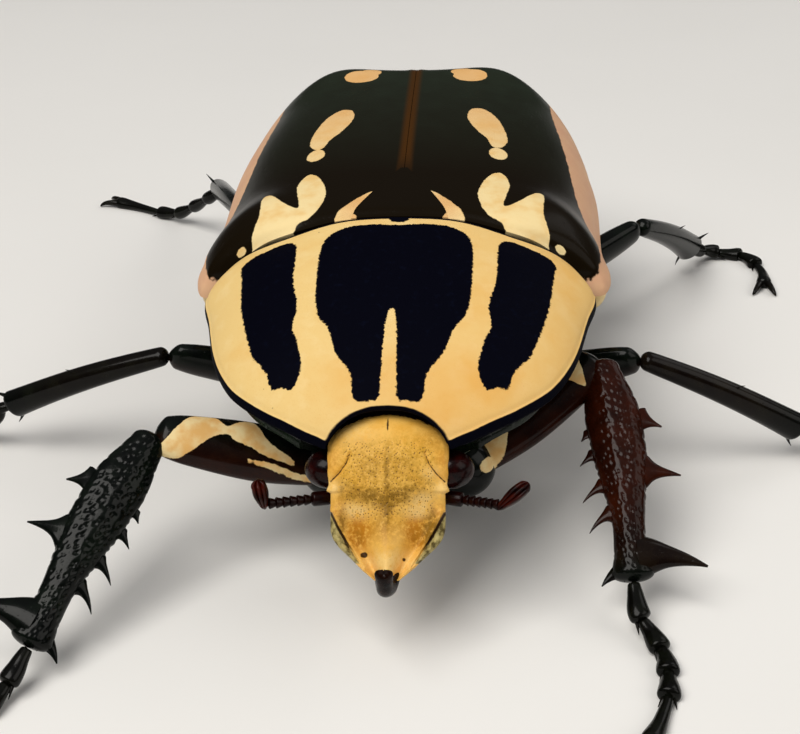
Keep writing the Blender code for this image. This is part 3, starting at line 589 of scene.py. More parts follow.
# %% The markings of the wing cases
SHOULDER_SPOT = [(8.0, 15.6), (7.0, 16.9), (6.1, 17.5), (5.55, 18.8), (5.35, 21.0), (6.1, 23.7), (7.0, 24.5),
                 (7.55, 22.4), (7.1, 18.9), (8.3, 19.9), (9.5, 21.9), (9.95, 21.4), (9.85, 18.6),
                 (10.4, 15.6)]
MIDDLE_SPOT = [(4.4, 34.8), (4.7, 36.3), (5.6, 36.6), (6.6, 35.2), (7.25, 32.8), (7.45, 30.6), (7.0, 29.3),
               (6.35, 29.2), (5.9, 30.6), (5.3, 31.7), (4.7, 33.2)]
SMALL_SPOTS = [  # across, along, radius, and how many times wider than long
    (11.1, 16.75, 0.34, 1.7), (6.75, 28.0, 0.68, 0.65), (4.5, 44.2, 1.4, 1.1), (3.7, 45.2, 0.8, 1.0)]
STRIPE_WIDTHS = [(15.4, 0.05), (16.5, 0.3), (19, 0.7), (22, 1.2), (30, 2.2), (40, 3.0), (46, 2.4), (50, 0.4),
                 (52, -0.5)]
SCUTELLUM_STREAK = [(3.2, 17.2), (2.45, 18.9), (1.75, 20.4), (1.8, 20.9), (2.5, 20.4),
                    (3.6, 18.9), (4.5, 17.2)]


# %% One wing case
SIDES = {"left": 1.0, "right": -1.0}
SEAM_INSET = 0.02
SCUTELLUM_LENGTH = 7.2
SCUTELLUM_HALF_WIDTH = 3.3
SCUTELLUM_START = 17.4
SCUTELLUM_END = 24.9
SCUTELLUM_TAPER = 0.93
SCUTELLUM_BEND = 1.15


def elytron_form(side, across=130, along_it=290):
    """The curved cover, closed round its border; u crowds towards the side, where it bends most. It has a
    ridge at the seam, a flange at the side, and dips under the scutellum and the pronotum."""
    u, v = np.meshgrid(crowded(0, across, 1.45), np.linspace(0, 1, along_it) ** 0.94)
    upper = elytron_top(u, v)
    upper[:, 0, 0] = SEAM_INSET
    x, y = upper[..., 0], upper[..., 1]
    slant = ELYTRA_HALF_WIDTH * through(ELYTRA_WIDTHS, v) * (1 - u)
    seam_ridge = 0.06 * bell(x - 0.4, 0.4) * rise(y - 24, 20)
    flange = 0.1 * bell(slant, 0.12) - 0.06 * bell(slant - 0.35, 0.15)
    down_scutellum = np.clip((y - SCUTELLUM_START) / SCUTELLUM_LENGTH, 0, 1.05)
    under = SCUTELLUM_HALF_WIDTH * (1 - SCUTELLUM_TAPER * down_scutellum**SCUTELLUM_BEND) - x
    dip = -0.6 * rise(under - 0.12, 0.3) * (y < SCUTELLUM_END)
    tuck = -0.42 * bell(y - upper[:1, :, 1], 0.5)
    normal = facing(upper)
    upper = upper + normal * (seam_ridge + flange + np.minimum(dip, tuck))[..., None]
    border = np.minimum(np.minimum(v, 1 - v) * 37, slant) + 0.12
    lower = upper - normal * (ELYTRA_THICK * rise(border, 0.5) ** 0.5)[..., None]
    lower[:, 0, 0] = SEAM_INSET
    spots = np.maximum(inside(x, y, SHOULDER_SPOT), inside(x, y, MIDDLE_SPOT))
    spots = np.maximum(spots, inside(x, y, SCUTELLUM_STREAK))
    for at_x, at_y, size, slim in SMALL_SPOTS:
        spots = np.maximum(spots, size - np.hypot(x - at_x, (y - at_y) * slim))
    fields = dict(
        cream=spots, stripe=through(STRIPE_WIDTHS, y) - slant, seam=np.minimum(0.42 - x, (y - 25.5) / 10),
        green=rise(y - 24, 26), peach=0.8 * bump(x, y, (3, 19), (1.6, 2.2)))
    flip = np.array([SIDES[side], 1, 1])
    return plate(upper * flip, lower * flip, **fields)


for side in SIDES:
    wing = make(f"wing_case_{side}", [elytron_form(side)], wing_case)
    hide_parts(f"elytron_{side}")


# %% [markdown]
# ## The scutellum
# The black triangle between the wing cases is the back of the second body ring. It narrows along a line
# close to straight, and its edges are rounded off where they meet the covers.


# %% The scutellum
def scutellum_form():
    """Half width falls as 1 - 0.93 v^1.15 along the plate; the top is slightly arched across."""
    u, v = np.meshgrid(crowded(-1, 70, 1.4), np.linspace(0, 1, 120))
    x = SCUTELLUM_HALF_WIDTH * (1 - v**SCUTELLUM_BEND * SCUTELLUM_TAPER) * u
    y = covers_begin(x) + v * SCUTELLUM_LENGTH
    z = ELYTRA_TOP * through(ELYTRA_HEIGHTS, v * 0.2) + 0.05 - 0.1 * (x / SCUTELLUM_HALF_WIDTH) ** 2
    z = z - 0.35 * bell(v * SCUTELLUM_LENGTH, 0.5)
    upper = np.stack([x, y, z], -1)
    corner = 0.35 - np.hypot(np.abs(x) - SCUTELLUM_HALF_WIDTH, y - SCUTELLUM_START)
    return plate(upper, upper - [0, 0, 1.6], cream=corner, stripe=OUTSIDE, seam=OUTSIDE, green=0.0, peach=0.8)


scutellum = make("scutellum_plate", [scutellum_form()], wing_case)
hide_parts("scutellum")

# %% [markdown]
# ## The head
# The face is a long shield, tilted forwards, that ends in a short horn. It has its own frame: across, along
# the face from the crown, and out of it. Relief is a sum of small named forms: a domed brow, hollows either
# side of a middle ridge, raised side edges, a groove at each eye, a dark ridge along each side, and pits.

# %% The face's frame and relief
CROWN = (0.0, 0.45, 14.7)
FACE_TILT = math.radians(52.0)
FACE_LENGTH = 10.3
HEAD_HALF_WIDTH = 3.75
FACE_WIDTHS = [(0, 0.45), (0.05, 0.63), (0.1, 0.78), (0.15, 0.9), (0.21, 0.98), (0.355, 0.985), (0.44, 0.955),
               (0.48, 0.99), (0.495, 0.925), (0.62, 0.93), (0.7, 0.925), (0.75, 0.89), (0.8, 0.8),
               (0.87, 0.6),
               (0.94, 0.4), (1, 0.2)]
FACE_PROFILE = [(0, -0.9), (0.06, -0.25), (0.15, 0.2), (0.3, 0.5), (0.46, 0.5), (0.56, 0.15), (0.7, -0.05),
                (0.88, 0.05), (1, 0.25)]
HEAD_DEPTHS = [(0, 4.2), (0.3, 5.0), (0.5, 4.2), (0.75, 2.5), (1, 1.1)]


def face(points):
    """Carries points of the head's own frame to the beetle's."""
    points = np.asarray(points, float)
    down = np.array([0, -math.cos(FACE_TILT), -math.sin(FACE_TILT)])
    out = np.array([0, -math.sin(FACE_TILT), math.cos(FACE_TILT)])
    return np.array(CROWN) + points[..., :1] * [1, 0, 0] + points[..., 1:2] * down + points[..., 2:] * out


def face_relief(u, s):
    """How far the face stands out: a domed brow, a mid ridge, hollows and raised side edges."""
    low = rise(s - 0.5, 0.3)
    ridge = 0.45 * low * bell(u, 0.25)
    hollow = 0.55 * low * bell(np.abs(u) - 0.55, 0.22)
    edge = 0.35 * low * bell(np.abs(u) - 0.92, 0.12)
    return through(FACE_PROFILE, s) - 0.75 * u**2 * (1 - 0.5 * low) + ridge - hollow + edge


# %% Lines and colours of the face
EYE_GROOVE = [(2.25, 2.7), (2.5, 3.35), (2.95, 3.95), (3.45, 4.4)]
EYE_FLAP = [(3.2, 2.9), (3.6, 3.6)]
LEAF = [(3.42, 6.3), (2.95, 7.2), (2.4, 8.15), (1.9, 8.9), (1.5, 9.5), (3.0, 10.5), (5.0, 8.0), (4.2, 6.0)]
CHEVRON = [(-2.9, 4.8), (-1.6, 5.2), (-0.6, 5.5), (0.0, 5.9), (0.6, 5.4), (1.6, 4.85), (2.9, 4.5)]
FACE_SPOTS = [(-1.4, 8.78, 0.17, 1.3), (1.0, 9.05, 0.1, 1.0)]  # across, along, radius, times wider than long
SHADES = [  # strength, one side or both, place, half size
    (1.4, "one", (2.4, 7.4), (0.4, 0.8)), (0.4, "one", (-0.1, 7.2), (0.9, 0.8)),
    (0.3, "one", (-2.1, 7.5), (0.4, 0.8)), (1.0, "both", (2.75, 6.9), (0.3, 0.9)),
    (0.5, "both", (1.0, 3.6), (0.9, 0.8)), (0.55, "both", (1.7, 7.8), (0.28, 0.5)),
    (0.35, "one", (0, 5.3), (1.8, 0.7))]
ORANGES = [
    (1.6, "both", (1.75, 7.35), (0.65, 1.0)), (0.8, "both", (2.9, 6.1), (0.5, 0.7)),
    (0.45, "one", (-0.1, 7.4), (0.9, 0.9)), (0.5, "both", (3.3, 3.3), (0.5, 0.9)),
    (0.35, "one", (2.8, 1.6), (0.9, 0.9))]
PALES = [
    (1.0, "both", (3.35, 4.75), (0.6, 0.4)), (0.9, "both", (1.8, 6.2), (0.9, 0.45)),
    (1.2, "one", (0, 9.3), (1.8, 0.6)), (0.6, "one", (-2.2, 1.3), (1.3, 0.8)),
    (0.15, "one", (0.3, 8.1), (0.7, 0.9)), (0.8, "one", (2.6, 3.9), (0.5, 0.4)),
    (0.9, "one", (2.1, 5.45), (0.8, 0.45)), (0.3, "one", (-2.3, 5.9), (0.6, 0.4))]


def with_swellings(total, x, y, rows):
    """Adds a soft swelling for each row; one on both sides is mirrored across the middle line."""
    for strength, sides, at, size in rows:
        total = total + strength * bump(np.abs(x) if sides == "both" else x, y, at, size)
    return total


def face_shade(x, y, chevron):
    """Brown in the chevron, fading to its sides, down the middle line, and in soft swellings."""
    far = np.abs(x)
    shade = (0.85 - 0.2 * np.clip(far - 0.6, 0, 2) - 0.06 * x) * chevron * rise(3.2 - far, 0.4)
    shade = shade + 0.7 * (bell(x, 0.2) * rise(y - 1.7, 2) * rise(7.4 - y))
    return with_swellings(shade, x, y, SHADES)


def face_lines(x, y, leaf):
    """Above zero in the dark lines: leaf edges, eye grooves, two specks and a stroke on the crown."""
    far = np.abs(x)
    crevice = np.minimum(0.085 - np.abs(leaf), (8.3 - y) * 0.1)
    groove = 0.035 - line_distance(far, y, EYE_GROOVE) - 0.02 * rise(3.6 - y)
    stroke = 0.06 - far - 0.05 * np.clip(np.abs(y - 0.95) / 0.4, 0, 3) ** 2
    line = np.maximum(np.maximum(crevice, groove), stroke)
    for at_x, at_y, size, stretch in FACE_SPOTS:
        line = np.maximum(line, size - np.hypot((x - at_x) / stretch, y - at_y))
    return line


# %% The face's shape
def head_form(across=190, along_it=220):
    """The face and its underside as one closed plate; pits 0.035 mm deep cover the brow."""
    u, s = np.meshgrid(np.linspace(-1, 1, across), np.linspace(0, 1, along_it))
    half = HEAD_HALF_WIDTH * through(FACE_WIDTHS, s)
    x, y = half * u, s * FACE_LENGTH
    far = np.abs(x)
    leaf = inside(far, y, LEAF, smooth=False)
    chevron = bell(line_distance(x, y, CHEVRON), 0.5)
    brow = rise(3.4 - far, 0.8) * rise(y - 1.2) * rise(8.0 - y, 1.6)
    dots = pits(x, y, 0.17, 0.075, 4, 0.9)
    groove = bell(line_distance(far, y, EYE_GROOVE), 0.09)
    flap = rise(0.5 - line_distance(far, y, EYE_FLAP) / 2)
    ridge, trench, ledge = bell(leaf + 0.2, 0.16), bell(leaf, 0.07), rise(leaf, 0.1)
    relief = face_relief(u, s) - 0.13 * groove + 0.08 * flap + 0.12 * ridge - 0.25 * trench - 0.16 * ledge
    relief = relief - 0.10 * chevron - 0.035 * dots * brow
    relief += 0.05 * bell(x, 0.12) * brow * rise(y - 5.5)
    depth = through(HEAD_DEPTHS, s) * (0.55 + 0.45 * (1 - u**2))
    roll = rise((1 - np.abs(u)) * half, 0.3) ** 0.5
    upper = face(np.stack([x, y, relief - 0.22 * (1 - roll)], -1))
    lower = face(np.stack([x * 0.93, y, relief - depth * (0.3 + 0.7 * roll)], -1))
    crown = np.minimum(y - 0.34 - 0.09 * x**2, half * (1 - np.abs(u)) + rise(y - 1.6) * 2)
    return plate(
        upper, lower, cream=crown, line=face_lines(x, y, leaf), leaf=np.minimum(leaf, 9.3 - y), brow=brow,
        speck=brow * dots, shade=face_shade(x, y, chevron), orange=with_swellings(0, x, y, ORANGES),
        pale=with_swellings(0, x, y, PALES))


def egg(centre, radii, across=64, down=40, place=np.asarray, **fields):
    """An ellipsoid: rings that shrink and rise with the cos and sin of a tilt, and two poles."""
    turn = full_turn(across)
    tilt = np.linspace(-np.pi / 2, np.pi / 2, down + 1)[1:-1, None]
    parts = np.cos(tilt) * np.cos(turn), np.cos(tilt) * np.sin(turn), np.sin(tilt)
    rings = np.stack(np.broadcast_arrays(*parts), -1)
    poles = np.array([[0, 0, -1.0], [0, 0, 1.0]])
    return limb(place(rings * radii + np.array(centre)), place(poles * radii + np.array(centre)), **fields)


# %% [markdown]
# The face's own finish is the same cream, with brown in the chevron and along the middle line, orange in the
# hollows, dark points in the pits and thin dark lines along the side ridges. The two leaf-shaped edges
# outside those ridges are greenish.


# %% Face finish
FACE_CREAM = (0.80, 0.46, 0.095)
FACE_GOLD = (0.73, 0.37, 0.05)
FACE_TAN = (0.53, 0.285, 0.025)
FACE_ORANGE = (0.46, 0.165, 0.005)
FACE_LIGHT = (0.84, 0.57, 0.21)
FACE_BROWN = (0.21, 0.105, 0.009)
FACE_GRAIN = (0.40, 0.20, 0.02)
LEAF_PALE = (0.42, 0.34, 0.13)
LEAF_GREEN = (0.07, 0.05, 0.010)
PIT_BROWN = (0.06, 0.025, 0.006)
LINE_BROWN = (0.02, 0.006, 0.003)
NECK_BROWN = (0.012, 0.005, 0.003)


def face_finish():
    """Each field mixes its own colour into the cream; noise breaks the soft ones up into blotches."""
    f = Finish("cream_face", Specular_IOR_Level=0.12)
    cream = ragged(f, f.field("cream"), 0.2, 0.3)
    cloud, fleck = f.noise(0.9, 4.0), f.noise(0.3, 4.0, 0.7)
    coat = f.mix(cloud.between(0.38, 0.7) * 0.8, FACE_CREAM, FACE_GOLD)
    tan = f.field("brow").above(0.0) * (0.2 + fleck.between(0.36, 0.68) * 0.7)
    coat = f.mix(tan, coat, FACE_TAN)
    coat = f.mix((f.field("orange") * (0.1 + fleck.between(0.3, 0.62))).below(0.9), coat, FACE_ORANGE)
    coat = f.mix((f.field("pale") * fleck.between(0.25, 0.6)).below(0.8), coat, FACE_LIGHT)
    coat = f.mix((f.field("shade") * fleck.between(0.2, 0.7) * 1.1).below(0.9), coat, FACE_BROWN)
    coat = f.mix(f.noise(0.13, 3.0, 0.7).between(0.5, 0.75) * 0.25, coat, FACE_GRAIN)
    leaf = f.mix(f.noise(0.4, 4.0).between(0.40, 0.66), LEAF_PALE, LEAF_GREEN)
    coat = f.mix(f.field("leaf").between(-0.04, 0.04), coat, leaf)
    coat = f.mix(f.field("speck").between(0.35, 0.75) * 0.85, coat, PIT_BROWN)
    line = (f.field("line") + (f.noise(0.15, 3.0) - 0.5) * 0.08).between(-0.02, 0.02) * 0.95
    colour = f.mix(line, coat, LINE_BROWN)
    colour = f.mix(cream, NECK_BROWN, colour)
    dust = f.noise(0.07, 3.0)
    pores = f.cells(0.13).between(0.0, 0.4)
    normal = f.relief(pores * 0.6 + dust * 0.6, 0.012)
    rough = 0.3 + dust * 0.22 - (1 - cream) * 0.1
    return f.wear(Base_Color=colour, Roughness=rough, Normal=normal)


cream_face = face_finish()
bare = dict(cream=OUTSIDE, speck=0.0, shade=0.0, orange=0.0, line=OUTSIDE, leaf=OUTSIDE, brow=0.0, pale=0.0)
neck = egg((0.0, 2.4, 10.9), (4.0, 3.2, 3.8), 80, 50, **bare)
head = make("face_and_neck", [head_form(), neck], cream_face)
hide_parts("head")

# %% [markdown]
# ## The eyes
# Each eye is a dark red-brown dome of hundreds of tiny facets behind the edge of the face. The dome is
# smooth at this size, so the facets are cells in the bump under a clear coat.


# %% The eyes
EYE_DARK = (0.002, 0.0004, 0.0005)
EYE_RED = (0.022, 0.002, 0.0015)
EYE_PLACE = np.array([3.75, 3.5, -1.8])
EYE_RADII = (1.45, 1.2, 1.5)


def eye_finish():
    """Red and black in slow clouds under a clear coat, with a cell of the bump for each facet."""
    f = Finish("eye_facets", Specular_IOR_Level=0.06, Coat_Weight=0.14, Coat_Roughness=0.03)
    cells = f.cells(0.045)
    colour = f.mix(f.noise(1.2, 3.0).between(0.35, 0.7), EYE_DARK, EYE_RED)
    rough = 0.12 + cells * 0.2
    return f.wear(Base_Color=colour, Roughness=rough, Normal=f.relief(1 - cells, 0.006))


eye_facets = eye_finish()
for side, sign in SIDES.items():
    dome = egg(EYE_PLACE * [sign, 1, 1], EYE_RADII, 96, 64, face)
    eye = make(f"eye_dome_{side}", [dome], eye_facets)
    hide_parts(f"eye_{side}")

# %% [markdown]
# ## Horn, feelers and mouth
# These are a deep, polished brown that is almost black where it is thick. The horn leaves the front edge
# of the face, turns up and ends in two blunt lobes. Each feeler has a swollen first joint, six beads and
# a club of three closed leaves.


# %% Brown finish
HORN_DEEP, HORN_BRIGHT = (0.002, 0.0008, 0.0005), (0.016, 0.004, 0.0012)
CLUB_DEEP, CLUB_BRIGHT = (0.004, 0.0006, 0.0004), (0.045, 0.004, 0.0015)


def brown_finish(name, deep, bright, rough):
    """Deep brown with brighter clouds, which the field "dim" takes away, under a thin clear coat."""
    f = Finish(name, Specular_IOR_Level=0.07, Coat_Weight=0.1, Coat_Roughness=0.05)
    cloud = f.noise(0.9, 4.0).between(0.38, 0.72)
    grain = f.noise(0.08, 3.0)
    colour = f.mix(cloud * (1 - f.field("dim").above(0.0)), deep, bright)
    normal = f.relief(grain + f.cells(0.2).between(0.0, 0.35), 0.01)
    return f.wear(Base_Color=colour, Roughness=rough + grain * 0.15, Normal=normal)


horn_brown = brown_finish("horn_brown", HORN_DEEP, HORN_BRIGHT, 0.2)
club_brown = brown_finish("club_brown", CLUB_DEEP, CLUB_BRIGHT, 0.22)


# %% Tubes along a path
def unit(vectors):
    """Vectors brought to length one."""
    vectors = np.asarray(vectors, float)
    return vectors / (np.linalg.norm(vectors, axis=-1, keepdims=True) + 1e-12)


def tube_frame(centres, broad):
    """At each point of a path: the way ahead, the broad way across it and the thin way."""
    ahead = unit(np.gradient(centres, axis=0))
    wide = unit(np.asarray(broad, float) - ahead * (ahead @ np.asarray(broad, float))[:, None])
    return ahead, wide, np.cross(ahead, wide)


def tube(centres, broad, radii, around=32, swell=0.0, **fields):
    """Rings of cos and sin about a path. Radii are one per point, or a broad and a thin one, and swell pushes
    points out."""
    centres, radii = np.asarray(centres, float), np.asarray(radii, float)
    if radii.ndim == 1:
        radii = np.stack([radii, radii], -1)
    _, wide, thin = tube_frame(centres, broad)
    turn = full_turn(around)
    ring = np.cos(turn)[None, :, None] * (wide * radii[:, :1])[:, None]
    ring = ring + np.sin(turn)[None, :, None] * (thin * radii[:, 1:])[:, None]
    out = unit(ring)
    return limb(centres[:, None] + ring + out * np.broadcast_to(swell, ring.shape[:2])[..., None], **fields)


def dome_ends(t, share):
    """A factor for radii that closes a tube's two ends as half circles over share of its length."""
    near = rise(np.minimum(t, 1 - t), share)
    return np.sqrt(np.clip(1 - (1 - near) ** 2, 0.0004, 1))


# %% The horn
HORN_PATH = [(0, 10.0, -0.7), (0, 10.7, 0.0), (0, 10.8, 0.9), (0, 10.4, 1.8), (0, 9.8, 2.6)]
HORN_HALF_WIDTHS = [(0, 0.8), (0.35, 0.58), (0.7, 0.5), (1, 0.58)]
HORN_HALF_DEPTHS = [(0, 0.6), (0.5, 0.5), (1, 0.33)]
LOBE_HEIGHT = 0.3


def horn_form():
    """Rings along the horn's path, pushed ahead by cos squared at the tip, which makes the two lobes."""
    t = np.linspace(0, 1, 90)
    centres = along(HORN_PATH, t)
    ahead = unit(np.gradient(centres, axis=0))
    back = np.cross(ahead, [1.0, 0, 0])
    turn = full_turn(64)
    tip = np.sqrt(np.clip(1 - rise(t - 0.9, 0.1) ** 2, 0.003, 1))
    wide, deep = through(HORN_HALF_WIDTHS, t) * tip, through(HORN_HALF_DEPTHS, t) * tip
    lobes = LOBE_HEIGHT * (t**6)[:, None] * (np.cos(turn) ** 2 - 0.6)
    rings = centres[:, None] + (wide[:, None] * np.cos(turn))[..., None] * [1.0, 0, 0]
    rings = rings + (deep[:, None] * np.sin(turn))[..., None] * back[:, None]
    rings = rings + lobes[..., None] * ahead[:, None]
    return limb(face(rings))


horn = make("horn_spike", [horn_form()], horn_brown)
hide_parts("horn")

# %% The feelers
UP = np.array([0, 0, 1])
ANTENNA_ROOT = np.array([3.3, 5.2, -1.9])
SCAPE_SHARE = 0.35
BEADS = 6
CLUB_SWELL = [(0, 0.3), (0.2, 0.62), (0.6, 1.0), (0.85, 0.9), (1, 0.5)]
ANTENNAE = {
    "left": dict(tip=(6.9, 5.75, -0.9), reach=(1.6, -1.3, 0.4)),
    "right": dict(tip=(7.5, 5.75, -0.4), reach=(0.25, -1.35, 1.2)),
}


def feeler_forms(side):
    """Scape, six cup-shaped beads and three leaves, each a closed form that touches the next."""
    tip, reach = (np.array(ANTENNAE[side][key]) for key in ("tip", "reach"))
    mirror = np.array([SIDES[side], 1, 1])
    t = np.linspace(0, 1, 40)
    path = ANTENNA_ROOT + (tip - ANTENNA_ROOT) * (t * SCAPE_SHARE)[:, None]
    forms = [tube(face(path * mirror), UP, (0.45 - 0.1 * (t - 0.6) ** 2) * dome_ends(t, 0.12), dim=0.8)]
    starts = np.linspace(0.34, 0.93, BEADS + 1)
    for a, b in zip(starts[:-1], starts[1:]):
        path = ANTENNA_ROOT + (tip - ANTENNA_ROOT) * np.linspace(a - 0.005, b + 0.015, 18)[:, None]
        t = np.linspace(0, 1, 18)
        forms.append(tube(face(path * mirror), UP, (0.24 + 0.15 * t**1.3) * dome_ends(t, 0.25), 24, dim=0.8))
    t = np.linspace(0, 1, 40)
    swell = through(CLUB_SWELL, t) * dome_ends(t, 0.15)
    club_path = face((tip + reach * (-0.22 + 1.22 * t)[:, None]) * mirror)
    flat = face(UP) - face(0 * UP)
    aside = unit(np.cross(club_path[-1] - club_path[0], flat))
    for k in (-1, 0, 1):
        centres = club_path + aside * (k * 0.27 * swell)[:, None]
        forms.append(tube(centres, flat, np.stack([(0.62 - 0.05 * abs(k)) * swell, 0.2 * swell], -1), 32))
    return forms


for side in SIDES:
    feeler = make(f"feeler_{side}", feeler_forms(side), club_brown)
    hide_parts(f"antenna_{side}")


# %% The mouth
PALP = np.array([[1.2, 6.2, -4.2], [1.7, 7.2, -4.0], [1.9, 8.2, -3.6], [1.6, 9.0, -3.2]])
PALP_JOINTS = 4


def mouth_forms():
    """A rounded chin, and either side a small feeler whose radius swells once per joint, as a cos does."""
    t = np.linspace(0, 1, 60)
    joints = 0.36 + 0.07 * np.cos(2 * np.pi * (t * PALP_JOINTS - 0.55))
    radius = joints * (1 - 0.35 * t**3) * dome_ends(t, 0.08)
    forms = [egg((0, 5.6, -3.9), (2.1, 1.5, 1.5), 64, 40, face)]
    for sign in SIDES.values():
        forms.append(tube(face(along(PALP * [sign, 1, 1], t)), (1, 0, 0), radius, 24))
    return forms


mouth = make("mouth_and_palps", mouth_forms(), horn_brown)
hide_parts("mouthparts")

# %% [markdown]
# ## The underside
# Below, the beetle is dark green and polished. The first ring carries the front legs, the second and third
# are one keeled shield between the middle and hind legs, and five belly plates overlap like roof tiles.
# A row of cream spots runs along the sides.

# %% Underside finish
UNDER_DARK = (0.003, 0.005, 0.003)
UNDER_GREEN = (0.007, 0.017, 0.006)


def under_finish():
    """Polished dark green with clouds and shallow pits, and cream in the side spots."""
    f = Finish("underside_green", Specular_IOR_Level=0.12, Coat_Weight=0.15, Coat_Roughness=0.05)
    cream = ragged(f, f.field("cream"), 0.2, 0.5)
    cloud = f.noise(2.0, 4.0)
    dark = f.mix(cloud.between(0.35, 0.7), UNDER_DARK, UNDER_GREEN)
    colour = f.mix(cream, dark, f.mix(cloud, CREAM, CREAM_PALE))
    pores = f.cells(0.4).between(0.02, 0.3)
    dust = f.noise(0.12, 3.0)
    rough = 0.2 + cream * 0.2 + dust * 0.15
    return f.wear(Base_Color=colour, Roughness=rough, Normal=f.relief(pores + dust * 0.3, 0.02))


underside_green = under_finish()

# %% The rings of the underside
BELLY_HEIGHT = 3.4
THORAX_END = 31.0
ABDOMEN_END = 51.6
STERNITES = 5
STERNITE_STEP = 0.22
CLEARANCE = 0.4


def under_elytra(u, y):
    """What the wing cases cover: the same section as theirs, a gap and a clearance inside."""
    v = rise(y - PRONOTUM_LENGTH, ELYTRA_LENGTH)
    half = ELYTRA_HALF_WIDTH * through(ELYTRA_WIDTHS, v) - ELYTRA_THICK - GAP - CLEARANCE
    top = ELYTRA_TOP * through(ELYTRA_HEIGHTS, v) - ELYTRA_THICK - GAP - CLEARANCE
    margin = ELYTRA_TOP * through(ELYTRA_MARGINS, v) + 0.2
    return np.stack([half * u, y, margin + (top - margin) * (1 - np.abs(u) ** 2.6) ** 0.6], -1), half, margin


def belly(u, y, half, side_height, floor):
    """Flat in the middle, rising to the sides with the 2.6th power of u."""
    return np.stack([half * u, y, floor + (side_height - floor) * np.abs(u) ** 2.6], -1)


def side_spot(points, x, y, size):
    """The distance to the edge of a round spot at x, y and of its mirror image, above zero inside."""
    return size - np.hypot(np.abs(points[..., 0]) - x, points[..., 1] - y)


def chest_form():
    """The first ring: from the pronotum's margin in to a keel between the front hips, with shallow waves."""
    u, v = np.meshgrid(np.linspace(-1, 1, 140), np.linspace(0.06, 0.985, 100))
    upper = pronotum_top(u * 0.94, v)
    upper[..., 2] -= 1.0 + 0.7 * (1 - (u * 0.94) ** 2) + GAP + 0.05
    keel = 6.0 + 2.6 * (1 - v) ** 2
    waves = 0.12 * np.sin(upper[..., 1] * 2.2) * rise(np.abs(u) - 0.3)
    lower = upper.copy()
    lower[..., 2] = keel + (upper[..., 2] - 0.5 - keel) * np.abs(u) ** 1.6
    lower[..., 2] += waves - 0.3 * bell(u, 0.08)
    return plate(upper, lower, cream=side_spot(upper, 10.5, 11.5, 0.9))


def thorax_forms():
    """The second and third rings with a middle groove and a seam, and a cream shoulder either side."""
    u, w = np.meshgrid(np.linspace(-1, 1, 160), np.linspace(0, 1, 130))
    start = hind_edge(0.93 * ELYTRA_HALF_WIDTH * u) + 0.1
    y = start + (THORAX_END - start) * w
    upper, half, margin = under_elytra(u, y)
    lower = belly(u, y, half * 0.97, margin - 0.6, BELLY_HEIGHT + 2.0 * rise(1 - w * 2.5) ** 2)
    groove = 0.18 * bell(lower[..., 0], 0.18) * (w > 0.35)
    seam = 0.15 * bell(y - 25.4 - 0.2 * np.abs(lower[..., 0]), 0.15)
    lower[..., 2] += groove + seam
    spots = np.maximum(side_spot(upper, 11.9, 24.5, 1.1), side_spot(upper, 11.6, 29.0, 0.7))
    forms = [plate(upper, lower, cream=spots)]
    forms += [egg((13.1 * sign, 18.3, 13.9), (1.2, 1.5, 1.5), 48, 32, cream=1.0) for sign in SIDES.values()]
    return forms


def abdomen_form():
    """Five belly plates, each standing a little proud of the next along its hind edge."""
    edges = np.linspace(THORAX_END + GAP, ABDOMEN_END, STERNITES + 1)
    u, y = np.meshgrid(np.linspace(-1, 1, 150), np.linspace(edges[0], edges[-1], 190))
    upper, half, margin = under_elytra(u, y)
    share = (y - edges[0]) / (edges[-1] - edges[0])
    step = share * STERNITES - np.floor(share * STERNITES * 0.9999)
    lip = rise(step, 0.06)
    tile = STERNITE_STEP * (1 - step) * lip + STERNITE_STEP * (1 - lip)
    lower = belly(u, y, half * 0.96, margin - 0.5, BELLY_HEIGHT + 4.6 * share**2.2 + tile)
    spots = 0.75 - np.hypot(np.abs(lower[..., 0]) - half * 0.8, (step - 0.55) * 4.0)
    return plate(upper, lower, cream=spots)


for name, node, forms in (
    ("chest_ring", "prosternum", [chest_form()]),
    ("thorax_shield", "thorax", thorax_forms()),
    ("belly_plates", "abdomen", [abdomen_form()]),
):
    ring = make(name, forms, underside_green)
    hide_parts(node)


# %% The last back plate
PYGIDIUM_HALF_WIDTH = 6.6
PYGIDIUM_TOP = 11.6
PYGIDIUM_HEIGHT = 4.6


def pygidium_form():
    """A rounded triangle that bulges backwards, cream with a dark patch either side."""
    u, w = np.meshgrid(np.linspace(-1, 1, 110), np.linspace(0, 1, 80))
    half = PYGIDIUM_HALF_WIDTH * (1 - w**2.2 * 0.86)
    y = ABDOMEN_END + 1.0 + 1.9 * w * (1.5 - w) - 0.2 * u**2
    z = PYGIDIUM_TOP - PYGIDIUM_HEIGHT * w + 0.3 * (1 - u**2)
    outer = np.stack([half * u, y + 0.9 * (1 - u**2) * (1 - (2 * w - 1) ** 2), z], -1)
    inner = np.stack([half * u * 0.96, np.full_like(y, ABDOMEN_END + GAP), z], -1)
    far = np.abs(half * u)
    dark = np.maximum(1.1 - np.hypot(far - 2.6, (z - 9.6) * 0.8), 0.35 - far - 0.2 * w)
    rim = np.minimum(half * (1 - np.abs(u)), np.minimum(w, 1 - w) * PYGIDIUM_HEIGHT) - 0.3
    return plate(outer, inner, cream=np.minimum(rim, -dark), rim=1.0, warm=0.0)


tail = make("tail_plate", [pygidium_form()], cream_and_velvet)
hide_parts("pygidium")
